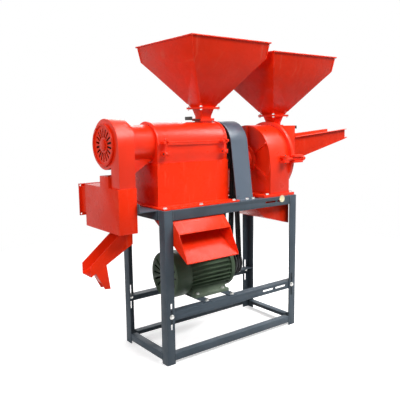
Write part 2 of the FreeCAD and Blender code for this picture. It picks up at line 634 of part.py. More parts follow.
pins = []
for x in hinge_xs:
    pins.append(fuse(
        rod("x", (x - 2, x + 2 * s.knuckle_width + 4), (hinge_y, mill_z), s.hinge_pin_r),
        rod("x", (x - 2 - s.pin_head, x - 1), (hinge_y, mill_z), s.pin_head_r)))
latch_pins = [rod("x", (x - s.latch_eye_width / 2 - s.face_gap - s.cheek_wall - 2,
                        x + s.latch_eye_width / 2 + s.face_gap + s.cheek_wall + 2),
                  (latch_y, latch_z), s.latch_pin_r) for x in latch_xs]
pin_set = pins + latch_pins

nut_z = cover_z + s.ear_height + s.nut_run_back
for x, name in zip(latch_xs, ("left", "right")):
    eye = rod("x", (x - s.latch_eye_width / 2, x + s.latch_eye_width / 2), (latch_y, latch_z), s.latch_eye_r)
    stem = rod("z", (latch_z, nut_z + s.nut_height + s.thread_end), (x, latch_y), s.latch_bolt_r)
    nut = hexagon("z", (nut_z, nut_z + s.nut_height), (x, latch_y), s.nut_flats)
    bore = rod("x", (x - 20, x + 20), (latch_y, latch_z), s.latch_pin_r + s.run_gap)
    node(cut(fuse(eye, stem, nut), bore), f"cover_latch_{name}")

# ---- milling parts ----

screen_x = (mill_inside[0], barrel_left)
screen_outer = s.screen_r + s.screen_wall
for name, sign in (("lower", -1), ("upper", 1)):
    z = (mill_z, mill_z + 60) if sign > 0 else (mill_z - 60, mill_z)
    flange_z = (mill_z, mill_z + s.screen_flange_wall) if sign > 0 else (
        mill_z - s.screen_flange_wall, mill_z)
    half_space = box(screen_x, (s.axis_y - 60, s.axis_y + 60), z)
    ring = rod("x", screen_x, mill_axis, screen_outer)
    flange = box(screen_x, (s.axis_y - screen_outer - s.screen_flange,
                            s.axis_y + screen_outer + s.screen_flange), flange_z)
    slots = []
    if sign < 0:
        for column in range(SIZES["screen_columns"]):
            start = screen_x[0] + 14 + column * s.screen_slot_pitch
            slots.append(ringed((start, start + s.screen_slot_length),
                                block_points(s.screen_r - 2, screen_outer + 2, s.screen_slot_width / 2),
                                s.screen_rows, mill_axis))
        slots = [common(cutter, box(screen_x, (s.axis_y - 60, s.axis_y + 60),
                                    (mill_z - 60, mill_z - 14))) for cutter in slots]
    bore = rod("x", (screen_x[0] - 1, screen_x[1] + 1), mill_axis, s.screen_r)
    node(cut(fuse(common(ring, half_space), flange), bore, *slots), f"sieve_{name}")

barrel_x = (barrel_left, mill_inside[1])
barrel = fuse(rod("x", barrel_x, mill_axis, s.barrel_bore + s.barrel_wall),
              rod("x", (barrel_x[0], barrel_x[0] + s.barrel_flange_wall), mill_axis, s.barrel_flange_r),
              rod("x", (barrel_x[1] - s.barrel_flange_wall, barrel_x[1]), mill_axis, s.barrel_flange_r))
mouth = box((hopper_x - s.neck / 2 - 2, hopper_x + s.neck / 2 + 2),
            (s.axis_y - s.neck / 2 - 2, s.axis_y + s.neck / 2 + 2), (mill_z, mill_z + 60))
node(cut(barrel, rod("x", (barrel_x[0] - 1, barrel_x[1] + 1), mill_axis, s.barrel_bore), mouth),
     "feed_barrel")

drum_in = s.drum_left + s.sheet
carriers = []
for nose, flange in (((mill_inside[1], mill_right + 1), (mill_right, mill_right + s.bearing_flange_wall)),
                     ((drum_in, drum_in + 24), (drum_in, drum_in + s.bearing_flange_wall))):
    carriers.append(cut(fuse(rod("x", nose, mill_axis, s.bearing_nose_r),
                             rod("x", flange, mill_axis, s.bearing_flange_r)),
                        rod("x", (nose[0] - 1, nose[1] + 20), mill_axis, s.mill_shaft_r + s.run_gap)))
node(group(*carriers), "mill_bearings")

mill_shaft_end = s.mill_pulley_x + s.pulley_width
node(rod("x", (s.fan_left + s.sheet + 4, mill_shaft_end + 6), mill_axis, s.mill_shaft_r), "mill_shaft")

screw_x = (roller_x[1] + s.screw_gap, mill_inside[1] - s.screw_end_gap)
coil_box = doc.addObject("PartDesign::Body", "flight")
coil = coil_box.newObject("PartDesign::AdditiveHelix", "helix")
coil.Profile = sketch(coil_box, "y", [
    (0, s.screw_hub_r - 2), (s.flight_wall, s.screw_hub_r - 2), (s.flight_wall, s.screw_r),
    (0, s.screw_r)])
coil.ReferenceAxis = (plane(coil_box, "X_Axis"), [""])
coil.Mode = 0
bind(coil, "Pitch", s.screw_pitch)
bind(coil, "Height", screw_x[1] - screw_x[0] - s.flight_wall)
move(coil_box, screw_x[0], *mill_axis)
hub = rod("x", screw_x, mill_axis, s.screw_hub_r)
node(cut(fuse(hub, coil_box), rod("x", (screw_x[0] - 9, screw_x[1] + 9), mill_axis, s.mill_shaft_r)),
     "feed_screw")
ribs = ringed(roller_x, block_points(s.roller_r - 3, s.roller_r + s.rib_height, s.rib_width / 2),
              s.roller_ribs, mill_axis)
node(cut(fuse(rod("x", roller_x, mill_axis, s.roller_r), ribs),
         rod("x", (roller_x[0] - 9, roller_x[1] + 9), mill_axis, s.mill_shaft_r)), "milling_roller")

# ---- rice discharge ----

drum_x = (s.drum_left, s.mill_left)
shoulder_z = mill_z - s.casing_shoulder
knee = (s.mill_left - s.casing_run, mill_z - s.casing_knee)
toe_z = mill_z - s.casing_toe
spout_z = collar_cut + s.sheet
steep = s.sheet * 1.2
casing_y = (s.axis_y - s.drum_half, s.axis_y + s.drum_half)
spout_y = (s.axis_y - s.spout_half, s.axis_y + s.spout_half)
outer = fuse(
    rod("x", drum_x, mill_axis, s.drum_r),
    prism("y", casing_y, [
        (s.drum_left, mill_z), (s.mill_left, mill_z), (s.mill_left, shoulder_z),
        (s.mill_left - 6, shoulder_z - s.sheet), knee, (s.drum_left, toe_z)]),
    prism("y", spout_y, [
        (s.drum_left + 7, toe_z + s.spout_height), (s.drum_left + 7, spout_z + s.spout_fall),
        (s.collar_right, spout_z), (s.collar_right, spout_z + s.spout_height),
        (s.drum_left, spout_z + s.spout_height + 7)]),
    rod("x", (s.ring_left, s.ring_left + s.ring_wall), mill_axis, s.ring_r))
inner = fuse(
    rod("x", (drum_in, s.mill_left + 1), mill_axis, s.drum_r - s.sheet),
    prism("y", (casing_y[0] + s.sheet, casing_y[1] - s.sheet), [
        (drum_in, mill_z), (s.mill_left + 1, mill_z), (s.mill_left + 1, shoulder_z + steep),
        (s.mill_left - 7, shoulder_z), (knee[0] - 1, knee[1] + steep), (drum_in, toe_z + 2 * s.sheet)]),
    prism("y", (spout_y[0] + s.sheet, spout_y[1] - s.sheet), [
        (s.drum_left + 6, toe_z + s.spout_height - 5), (s.drum_left + 6, spout_z + s.spout_fall + s.sheet),
        (s.collar_right - 1, spout_z + steep), (s.collar_right - 1, spout_z + s.spout_height - s.sheet),
        (s.drum_left, spout_z + s.spout_height + 3)]))
shaft_way = rod("x", (s.drum_left - 1, drum_in + 1), mill_axis, s.mill_shaft_r + 2)
node(cut(outer, inner, shaft_way), "discharge_casing")

# ---- fan ----


def scroll(x, shrink, floor):
    """The volute built from quarters whose radius grows by one step each."""
    step = s.scroll_step
    first = s.scroll_r - shrink
    second = first + step
    third = second + step
    y, z = mill_axis
    duct_y = (y - step - third, y - step - third + s.duct_depth - 2 * shrink)
    return fuse(
        rod("x", x, (y, z), first),
        common(rod("x", x, (y - step, z), second), box(x, (y - step, y + 200), (z, z + 200))),
        common(rod("x", x, (y - step, z - step), third), box(x, (y - 200, y - step), (z - step, z + 200))),
        box(x, duct_y, (floor, z - step)))


fan_x = (s.fan_left, s.fan_left + s.fan_width)
fan_shell = scroll(fan_x, 0, box_top)
fan_room = scroll((fan_x[0] + s.sheet, fan_x[1] - s.sheet), s.sheet, box_top - 1)
eye = rod("x", (fan_x[0] - 1, fan_x[0] + s.sheet + 1), mill_axis, s.eye_r)
back_way = rod("x", (fan_x[1] - s.sheet - 1, fan_x[1] + 1), mill_axis, s.mill_shaft_r + 2)
node(cut(fan_shell, fan_room, eye, back_way), "fan_housing")

grille_x = (s.fan_left - s.grille_ring_height, s.fan_left)
grille_plate = fuse(rod("x", (s.fan_left - s.grille_wall, s.fan_left), mill_axis, s.grille_r),
                    tube(grille_x, mill_axis, s.grille_r, s.grille_r - s.grille_ring),
                    rod("x", (s.fan_left - s.grille_ring_height, s.fan_left), mill_axis, s.grille_hub_r))
grille_cutter = ringed((s.fan_left - s.grille_wall - 1, s.fan_left + 1),
                       block_points(s.grille_hub_r + 8, s.eye_r - 2, s.grille_slot_width / 2),
                       s.grille_slots, mill_axis)
node(cut(grille_plate, grille_cutter), "fan_grille")

wheel_x = (s.impeller_left, s.impeller_left + s.impeller_width)
blades = ringed(wheel_x, block_points(s.impeller_hub_r - 3, s.impeller_r, s.blade_wall / 2),
                s.impeller_blades, mill_axis)
wheel = fuse(rod("x", wheel_x, mill_axis, s.impeller_hub_r), blades,
             rod("x", (wheel_x[1] - s.blade_wall, wheel_x[1]), mill_axis, s.impeller_r))
node(cut(wheel, rod("x", (wheel_x[0] - 1, wheel_x[1] + 1), mill_axis, s.mill_shaft_r)), "fan_impeller")

# ---- separator ----

box_x = (s.box_left, s.box_right)
outer = fuse(box(box_x, (s.box_front, s.box_back), (box_floor, box_top)),
             box((s.box_left, s.collar_right), (s.collar_front, s.collar_back), (box_top - 1, collar_top)))
inner = box((s.box_left + s.sheet, s.box_right - s.sheet), (s.box_front + s.sheet, s.box_back - s.sheet),
            (box_floor + s.sheet, box_top - s.sheet))
duct_front = s.axis_y - s.scroll_step * 3 - s.scroll_r
duct_y = (duct_front, duct_front + s.duct_depth)
fan_way = box((s.fan_left + s.sheet, s.fan_left + s.fan_width - s.sheet),
              (duct_y[0] + s.sheet, duct_y[1] - s.sheet), (box_top - 9, box_top + 1))
collar_way = box((s.box_left + s.sheet, s.collar_right - s.sheet),
                 (s.collar_front + s.sheet, s.collar_back - s.sheet), (box_top - 9, collar_top + 1))
collar_low = box((s.collar_right - 9, s.collar_right + 1), (s.collar_front - 1, s.collar_back + 1),
                 (collar_cut, collar_top + 1))
rice_way = box((s.box_left + s.rice_way_inset, s.box_right - s.sheet),
               (s.chute_front + s.sheet, s.chute_back - s.sheet), (box_floor - 1, box_floor + s.sheet + 1))
outlet_way_x = (outlet_left + s.outlet_wall, outlet_right - s.outlet_wall)
outlet_way_z = (outlet_floor + s.outlet_wall, outlet_top - s.outlet_wall)
air_way = box(outlet_way_x, (s.box_back - 9, s.box_back + 1), outlet_way_z)
node(cut(outer, inner, fan_way, collar_way, collar_low, rice_way, air_way), "separator_box")

outlet_x = (outlet_left, outlet_right)
flange_x = (outlet_left - s.outlet_flange, outlet_right + s.outlet_flange)
flange_z = (outlet_floor - s.outlet_flange, outlet_top + s.outlet_flange)
outlet_mid = ((outlet_left + outlet_right) / 2, (outlet_floor + outlet_top) / 2)
outlet_y = (s.outlet_end, s.outlet_end + s.outlet_flange_wall)
spots = [(outlet_mid[0] + sx * s.outlet_bolt_x, outlet_mid[1] + sz * s.outlet_bolt_z) for sx, sz in corners]
node(cut(fuse(box(outlet_x, (s.box_back, s.outlet_end + 1), (outlet_floor, outlet_top)),
              box(flange_x, outlet_y, flange_z)),
         box(outlet_way_x, (s.box_back - 1, s.outlet_end + 20), outlet_way_z),
         *holes("y", (s.outlet_end - 1, s.outlet_end + 20), spots)), "air_outlet")

chute_y = (s.chute_front, s.chute_back)
tip = (s.box_left - s.chute_reach, box_floor - s.chute_drop)
heel = (s.box_right + s.chute_heel_out, box_floor - s.chute_heel)
chute_slope = (heel[1] - tip[1]) / (heel[0] - tip[0])


def under_chute(x, lift=0):
    """The point of the chute's sloping underside at x, raised by lift."""
    return x, tip[1] + (x - tip[0]) * chute_slope + lift


shoulder = (s.box_left + s.chute_shoulder, box_floor - s.chute_shoulder_drop)
floor_lift = s.chute_wall * 1.15
trough = prism("y", chute_y, [tip, heel, (heel[0], box_floor), (s.box_left + s.chute_top, box_floor),
                              shoulder, (tip[0], tip[1] + s.chute_lip)])
trough_in = prism("y", (s.chute_front + s.chute_wall, s.chute_back - s.chute_wall), [
    under_chute(tip[0] - 1, floor_lift), under_chute(heel[0] - s.chute_wall, floor_lift),
    (heel[0] - s.chute_wall, box_floor + 1), (s.box_left + s.chute_top, box_floor + 1),
    (tip[0] - 1, box_floor + 9)])
sieve_cuts = []
for i in range(4):
    start = tip[0] + s.chute_slot_first + s.chute_slot_pitch * i
    sieve_cuts.append(box((start, start + s.chute_slot_width), (s.broken_front + 5, s.broken_back - 5),
                          (tip[1] - 10, tip[1] + 60)))
node(cut(trough, trough_in, *sieve_cuts), "rice_chute")
broken_y = (s.broken_front, s.broken_back)
mouth = tip[0] + s.broken_inset
mouth_end = mouth + s.broken_mouth
throat = (mouth + s.broken_lean, under_chute(mouth)[1] - s.broken_length)
wall = s.broken_wall
node(cut(prism("y", broken_y, [
    under_chute(mouth), under_chute(mouth_end), (throat[0] + s.broken_throat, throat[1] - 3), throat]),
    prism("y", (s.broken_front + wall, s.broken_back - wall), [
        under_chute(mouth + wall, 1), under_chute(mouth_end - wall, 1),
        (throat[0] + s.broken_throat - wall, throat[1] - 9), (throat[0] + wall, throat[1] - 9)])),
    "broken_rice_spout")

bracket_y = (s.bracket_front, s.bracket_back)
bracket = fuse(box((s.box_right, -leg_x), bracket_y, (leg_top, leg_top + s.bracket_wall)),
               box((-leg_x - s.bracket_wall, -leg_x), bracket_y, (leg_top - s.bracket_drop, leg_top + 1)),
               box((s.box_right, s.box_right + s.bracket_wall), bracket_y,
                   (leg_top - 1, leg_top + s.bracket_drop)))
node(bracket, "separator_bracket")

# ---- bran chute ----

bran_x = (s.bran_left, s.bran_right)
bran_slope = s.bran_lip_drop / (s.bran_back_y - s.bran_lip_y)
bran_floor = s.bran_sheet * 1.2
hood = [(s.bran_hood_y, s.bran_hood_drop), (s.bran_fold_y, s.bran_fold_drop),
        (s.bran_mouth_y, s.bran_mouth_drop)]
bran = prism("x", bran_x, [(s.bran_back_y, deck), (s.bran_hood_y, deck)] + [
    (y, deck - drop) for y, drop in hood] + [
    (s.bran_lip_y, bran_lip_z + s.bran_cheek), (s.bran_lip_y, bran_lip_z)])
past_lip = 14
bran_in = prism("x", (s.bran_left + s.bran_sheet, s.bran_right - s.bran_sheet), [
    (s.bran_back_y - s.bran_sheet - 1, deck + 1), (s.bran_hood_y + s.bran_sheet, deck + 1)] + [
    (y + s.bran_sheet, deck - drop - 1) for y, drop in hood] + [
    (s.bran_lip_y - past_lip, bran_lip_z + 56),
    (s.bran_lip_y - past_lip, bran_lip_z - past_lip * bran_slope + bran_floor)])
node(cut(bran, bran_in), "bran_chute")

# ---- belt guard ----

guard_x = (s.guard_left, s.guard_right)
guard_axis = (s.guard_y, guard_z)
rise = guard_z - deck


def guard_body(x, wall):
    """The arch with its two leaning sides, shrunk by wall."""
    edge = s.guard_tangent_y - wall
    toe = s.guard_foot_half - wall
    return fuse(rod("x", x, guard_axis, s.guard_r - wall),
                prism("x", x, [(-toe, -rise - wall), (toe, -rise - wall), (edge, s.guard_tangent_z),
                               (-edge, s.guard_tangent_z)], guard_axis))


toes = [(s.guard_y - s.guard_foot_half - s.guard_foot, s.guard_y - s.guard_foot_half + 3),
        (s.guard_y + s.guard_foot_half - s.guard_foot, s.guard_y + s.guard_foot_half)]
guard_feet = [box(guard_x, toe, (deck, deck + s.guard_foot_wall)) for toe in toes]
floor_trim = box((0, 200), (-300, 300), (0, deck))
guard_in = guard_body((s.guard_left - 1, s.guard_right + 1), s.guard_wall)
node(cut(fuse(cut(guard_body(guard_x, 0), guard_in), *guard_feet), floor_trim,
         *holes("z", (deck - 1, deck + 9), guard_spots)), "belt_guard")

# ---- pulleys and belts ----

motor_axis = (0, motor_z)
crusher_axis = (s.axis_y, crusher_z)


def pulley(left, radius):
    """A two-groove V pulley without its bore."""
    right = left + s.pulley_width
    points = [(left, 0), (left, radius)]
    for i in range(2):
        middle = left + s.groove_inset + i * s.groove_pitch
        points += [(middle - s.groove_half, radius), (middle - s.groove_floor_half, radius - s.groove_depth),
                   (middle + s.groove_floor_half, radius - s.groove_depth), (middle + s.groove_half, radius)]
    return points + [(right, radius), (right, 0)]


node(cut(turned(pulley(s.mill_pulley_x, s.mill_pulley_r), mill_axis),
         rod("x", (s.mill_pulley_x - 1, mill_shaft_end + 1), mill_axis, s.mill_shaft_r)), "mill_pulley")
second_x = mill_shaft_end + s.pulley_gap
second_end = second_x + s.pulley_width
node(cut(turned(pulley(second_x, s.crusher_pulley_r), crusher_axis),
         rod("x", (second_x - 1, second_end + 1), crusher_axis, s.crusher_shaft_r)), "crusher_pulley")
node(cut(fuse(turned(pulley(s.mill_pulley_x, s.motor_mill_r), motor_axis),
              turned(pulley(second_x, s.motor_crusher_r), motor_axis),
              rod("x", (mill_shaft_end - 1, second_x + 1), motor_axis, s.motor_mill_r - 12)),
         rod("x", (s.mill_pulley_x - 1, second_end + 1), motor_axis, s.motor_shaft_r)), "motor_pulley")


def belt_loop(x, lower_r, upper, upper_r, out):
    """The hull of two discs: the flat sides run between the tangent points."""
    low, high = lower_r + out, upper_r + out
    return fuse(rod("x", x, motor_axis, low), rod("x", x, upper, high),
                prism("x", x, [(-low, 0), (low, 0), (upper[0] + high, upper[1] - motor_z),
                               (upper[0] - high, upper[1] - motor_z)], (0, motor_z)))


def belt_pair(left, lower_r, upper, upper_r):
    belts = []
    for i in range(2):
        middle = left + s.groove_inset + i * s.groove_pitch
        span = (middle - s.belt_half, middle + s.belt_half)
        wide = (middle - s.belt_half - 1, middle + s.belt_half + 1)
        belts.append(cut(belt_loop(span, lower_r, upper, upper_r, s.belt_out),
                         belt_loop(wide, lower_r, upper, upper_r, s.belt_out - s.belt_height)))
    return belts


drive_belts = belt_pair(s.mill_pulley_x, s.motor_mill_r, mill_axis, s.mill_pulley_r)
drive_belts += belt_pair(second_x, s.motor_crusher_r, crusher_axis, s.crusher_pulley_r)
node(group(*drive_belts), "drive_belts")

# ---- crusher ----

crusher_x = (s.crusher_left, s.crusher_right)
crusher_y = (s.axis_y - s.crusher_r, s.axis_y + s.crusher_r)
base = box((s.base_left, s.base_right), (s.base_front, s.base_back), (deck, crusher_floor))
fall_x = (s.crusher_left + s.back_wall, s.flour_neck_right)
fall_y = (s.flour_neck_front, s.flour_neck_back)
fall = box(fall_x, fall_y, (deck - 1, crusher_floor + 1))
node(cut(base, fall, *holes("z", (deck - 1, crusher_floor + 1), base_bolts)), "crusher_base")

case = fuse(rod("x", crusher_x, crusher_axis, s.crusher_r),
            box(crusher_x, crusher_y, (crusher_floor, crusher_z)))
bead = common(tube((s.crusher_left - 5, s.crusher_left + 1), crusher_axis, s.bead_r + s.bead_width, s.bead_r),
              box((s.crusher_left - 9, s.crusher_left + 9), (-200, 220), (crusher_z - 90, crusher_z + 200)))
star = ringed((s.crusher_left - s.crusher_rib, s.crusher_left + 1),
              block_points(s.crusher_bearing_r - 3, s.bead_r + 4, s.crusher_rib_width / 2),
              s.crusher_ribs, crusher_axis)
star_limit = box((s.crusher_left - 20, s.crusher_left + 5), (crusher_y[0] + 2, crusher_y[1] - 2),
                 (crusher_floor, crusher_z + 200))
case_in = fuse(rod("x", (s.crusher_left + s.back_wall, s.crusher_right + 1), crusher_axis,
                   s.crusher_r - s.crusher_wall),
               box((s.crusher_left + s.back_wall, s.crusher_right + 1),
                   (crusher_y[0] + s.crusher_wall, crusher_y[1] - s.crusher_wall),
                   (crusher_floor - 1, crusher_z)))
pivot_y = crusher_y[0] - s.clamp_out
cheeks = []
for sign in (-1, 1):
    near = s.clamp_eye_height / 2 + s.face_gap
    far = near + s.clamp_cheek
    z = (crusher_z + near, crusher_z + far) if sign > 0 else (crusher_z - far, crusher_z - near)
    cheeks.append(box((s.clamp_x - 13, s.clamp_x + 13), (pivot_y - 12, crusher_y[0] + 1), z))
clamp_bore = rod("z", (crusher_z - 40, crusher_z + 40), (s.clamp_x, pivot_y), s.latch_pin_r)
hinge_blocks = []
hinge_pins = []
door_knuckles = []
door_bores = []
for lift in (-1, 1):
    z0 = crusher_z + lift * s.door_hinge_lift
    z = (z0 - s.door_knuckle_height, z0)
    hinge_blocks.append(rod("z", z, (s.door_hinge_x, s.door_hinge_y), s.door_knuckle_r))
    hinge_blocks.append(box((s.crusher_right - 26, s.door_hinge_x - 8),
                            (crusher_y[1] - s.hinge_block_root, s.door_hinge_y + 8), z))
    hinge_pins.append(fuse(rod("z", (z0 - s.door_knuckle_height - 2, z0 + s.door_knuckle_height + 3),
                               (s.door_hinge_x, s.door_hinge_y), s.door_pin_r),
                           rod("z", (z0 + s.door_knuckle_height + 2, z0 + s.door_knuckle_height + 6),
                               (s.door_hinge_x, s.door_hinge_y), s.door_pin_r + 3)))
    z = (z0 + s.face_gap, z0 + s.door_knuckle_height)
    door_knuckles.append(rod("z", z, (s.door_hinge_x, s.door_hinge_y), s.door_knuckle_r))
    door_knuckles.append(box((s.door_hinge_x + 2, s.door_hinge_x + s.door_knuckle_r),
                             (crusher_y[1] - 15, s.door_hinge_y), z))
    door_bores.append(rod("z", (z0, z0 + 40), (s.door_hinge_x, s.door_hinge_y), s.door_pin_r + s.run_gap))
hinge_bores = [rod("z", (crusher_z - 100, crusher_z + 100), (s.door_hinge_x, s.door_hinge_y), s.door_pin_r)]
back_bore = rod("x", (s.crusher_left - 20, s.crusher_left + 20), crusher_axis, s.crusher_shaft_r + 2)
nose_bore = rod("x", (s.crusher_left - 20, s.crusher_left), crusher_axis, s.crusher_bearing_flange_r)
node(cut(fuse(case, bead, common(star, star_limit), *cheeks, *hinge_blocks),
         case_in, back_bore, nose_bore, clamp_bore, *hinge_bores), "crusher_housing")
pin_set += hinge_pins
pin_set.append(rod("z", (crusher_z - 20, crusher_z + 20), (s.clamp_x, pivot_y), s.latch_pin_r))
node(group(*pin_set), "hinge_pins")

bearing = fuse(rod("x", (s.crusher_bearing_left, s.crusher_left), crusher_axis, s.crusher_bearing_r),
               rod("x", (s.crusher_left - 12, s.crusher_left), crusher_axis, s.crusher_bearing_flange_r),
               rod("x", (s.crusher_bearing_left, s.crusher_bearing_left + 12), crusher_axis,
                   s.crusher_bearing_r + 6))
node(cut(bearing, rod("x", (s.crusher_bearing_left - 1, s.crusher_left + 1), crusher_axis,
                      s.crusher_shaft_r + s.run_gap)), "crusher_bearing_housing")

node(rod("x", (second_x, s.rotor_left + s.rotor_wall + 8), crusher_axis, s.crusher_shaft_r), "crusher_shaft")
disc_x = (s.rotor_left, s.rotor_left + s.rotor_wall)
claw_x = (disc_x[1] - 1, disc_x[1] + s.claw_length)
claws = ringed(claw_x, block_points(s.claw_in, s.claw_out, s.claw_half), s.claws, crusher_axis)
inner_claws = ringed(claw_x, block_points(s.inner_claw_in, s.inner_claw_out, s.claw_half), s.inner_claws,
                     crusher_axis)
node(cut(fuse(rod("x", disc_x, crusher_axis, s.rotor_r),
              rod("x", (s.rotor_left - 10, disc_x[1] + 6), crusher_axis, 30), claws, inner_claws),
         rod("x", (s.rotor_left - 20, disc_x[1] + 20), crusher_axis, s.crusher_shaft_r)), "crusher_rotor")

screen_span = (s.crusher_left + s.back_wall, s.ring_screen_end)
ring_slots = ringed((screen_span[0] + 14, screen_span[1] - 14),
                    block_points(s.ring_screen_r - 2, s.ring_screen_r + s.ring_screen_wall + 2,
                                 s.ring_slot_half),
                    s.ring_slots, crusher_axis)
node(cut(tube(screen_span, crusher_axis, s.ring_screen_r + s.ring_screen_wall, s.ring_screen_r),
         common(ring_slots, box((0, 400), (-300, 300), (0, crusher_z - 10)))), "crusher_ring_sieve")

door_x = (s.crusher_right + s.face_gap, s.crusher_right + s.door_wall)
fork = []
for sign in (-1, 1):
    near, far = s.clamp_fork_gap, s.clamp_fork_gap + s.clamp_fork_wall
    z = (crusher_z + near, crusher_z + far) if sign > 0 else (crusher_z - far, crusher_z - near)
    fork.append(box((door_x[0], s.clamp_seat_x), (-s.clamp_fork_front, -s.clamp_fork_back), z))
teeth = ringed((s.crusher_right - s.tooth_length, s.crusher_right + 2),
               block_points(s.tooth_in, s.tooth_out, s.tooth_half), s.teeth, crusher_axis)
door_rim = tube((s.crusher_right + s.door_wall - 1, s.crusher_right + s.door_wall + 5), crusher_axis,
                s.door_r, s.door_r - 10)
door = fuse(rod("x", door_x, crusher_axis, s.door_r), teeth, door_rim, *fork, *door_knuckles)
hinge_room = [rod("z", (crusher_z + lift * s.door_hinge_lift - s.door_knuckle_height - 1,
                        crusher_z + lift * s.door_hinge_lift + s.face_gap),
                  (s.door_hinge_x, s.door_hinge_y), s.door_knuckle_r + 1) for lift in (-1, 1)]
door_flat = box((s.crusher_right - 60, s.crusher_right + 60), (-200, 220),
                (deck - 90, crusher_floor + s.door_flat_gap))
clamp_way = box((door_x[0] - 1, s.clamp_seat_x + 1), (-s.clamp_fork_front - 1, -s.clamp_fork_back - 2),
                (crusher_z - s.clamp_fork_gap, crusher_z + s.clamp_fork_gap))
node(cut(door, rod("x", (s.crusher_right - 9, s.crusher_right + 30), crusher_axis, s.inlet_r),
         *door_bores, *hinge_room, clamp_way, door_flat), "crusher_door")

eye = rod("z", (crusher_z - s.clamp_eye_height / 2, crusher_z + s.clamp_eye_height / 2),
          (s.clamp_x, pivot_y), s.clamp_eye_r)
nut_x = s.clamp_seat_x + s.nut_run_back
stem = rod("x", (s.clamp_x, nut_x + s.clamp_nut + s.thread_end), (pivot_y, crusher_z), s.clamp_bolt_r)
nut = hexagon("x", (nut_x, nut_x + s.clamp_nut), (pivot_y, crusher_z), s.clamp_nut_flats)
node(cut(fuse(eye, stem, nut), rod("z", (crusher_z - 40, crusher_z + 40), (s.clamp_x, pivot_y),
                                   s.latch_pin_r + s.run_gap)), "door_clamp")

# ---- feed throat and tray on the door ----

throat_y = (s.axis_y - s.throat_half, s.axis_y + s.throat_half)
throat_in_y = (throat_y[0] + s.sheet, throat_y[1] - s.sheet)
throat_left = s.crusher_right + s.door_wall
throat = prism("y", throat_y, [(throat_left, throat_floor), (s.throat_right, tray_floor),
                               (s.throat_right, throat_top), (throat_left, throat_top)])
throat_in = prism("y", throat_in_y, [
    (throat_left + 6, throat_floor + 5), (s.throat_right + 1, tray_floor + 3.4),
    (s.throat_right + 1, throat_top - s.sheet), (throat_left + 6, throat_top - s.sheet)])
feed_x = s.crusher_hopper_x
neck_way = box((feed_x - s.neck / 2, feed_x + s.neck / 2), (s.axis_y - s.neck / 2, s.axis_y + s.neck / 2),
               (throat_top - 9, throat_top + 1))
inlet_way = rod("x", (throat_left - 1, throat_left + 9), crusher_axis, s.inlet_r)
seat_rim = tube((throat_left - 1, throat_left + 6), crusher_axis, s.door_r + 1, s.door_r - 11)
guide_z = crusher_gate_z - s.face_gap
rails = []
for sign in (-1, 1):
    near = s.axis_y + sign * (s.neck / 2 + s.gate_side + s.face_gap)
    far = s.axis_y + sign * (s.neck / 2 + s.gate_side + 3)
    lip = s.axis_y + sign * (s.neck / 2 - 1)
    y_wall = (near, far) if sign > 0 else (far, near)
    y_lip = (lip, far) if sign > 0 else (far, lip)
    rail_span = (feed_x - 30, s.throat_right)
    rails.append(box(rail_span, y_wall, (guide_z - 3, throat_top - 1)))
    rails.append(box(rail_span, y_lip, (guide_z - 3, guide_z)))
node(cut(fuse(cut(throat, throat_in, neck_way, inlet_way), *rails), seat_rim), "feed_throat")

tray_x = (s.throat_right, s.tray_right)
plan_out = prism("z", (700, 1000), [
    (s.throat_right, throat_y[0] - s.axis_y), (s.tray_right, -s.tray_tip_half),
    (s.tray_right, s.tray_tip_half), (s.throat_right, throat_y[1] - s.axis_y)], (0, s.axis_y))
plan_in = prism("z", (700, 1000), [
    (s.throat_right - 1, s.sheet - s.throat_half), (s.tray_right + 1, s.sheet - s.tray_tip_half),
    (s.tray_right + 1, s.tray_tip_half - s.sheet), (s.throat_right - 1, s.throat_half - s.sheet)],
    (0, s.axis_y))
plan_lip = prism("z", (700, 1000), [
    (s.throat_right, -s.throat_half - s.tray_lip), (s.tray_right, -s.tray_tip_half - s.tray_lip),
    (s.tray_right, s.tray_tip_half + s.tray_lip), (s.throat_right, s.throat_half + s.tray_lip)],
    (0, s.axis_y))
wide_y = (s.axis_y - 120, s.axis_y + 120)
tray_side = prism("y", wide_y, [(s.throat_right, tray_floor), (s.tray_right, tray_tip_floor),
                                (s.tray_right, tray_tip), (s.throat_right, tray_near)])
tray_room = prism("y", wide_y, [
    (s.throat_right - 1, tray_floor + s.tray_wall), (s.tray_right + 1, tray_tip_floor + s.tray_wall),
    (s.tray_right + 1, tray_tip + 5), (s.throat_right - 1, tray_near + 5)])
lip_side = prism("y", wide_y, [(s.throat_right, tray_near - 2.5), (s.tray_right, tray_tip - 2.5),
                               (s.tray_right, tray_tip), (s.throat_right, tray_near)])
end_lip = prism("y", (s.axis_y - s.tray_tip_half, s.axis_y + s.tray_tip_half), [
    (s.tray_right - 1, tray_tip_floor), (s.tray_right + s.tray_end_lip, tray_tip_floor + 7),
    (s.tray_right + s.tray_end_lip, tray_tip_floor + 10), (s.tray_right - 1, tray_tip_floor + 3)])
node(cut(fuse(common(tray_side, plan_out), common(lip_side, plan_lip), end_lip),
         common(tray_room, plan_in)), "feed_tray")

# ---- flour outlet ----

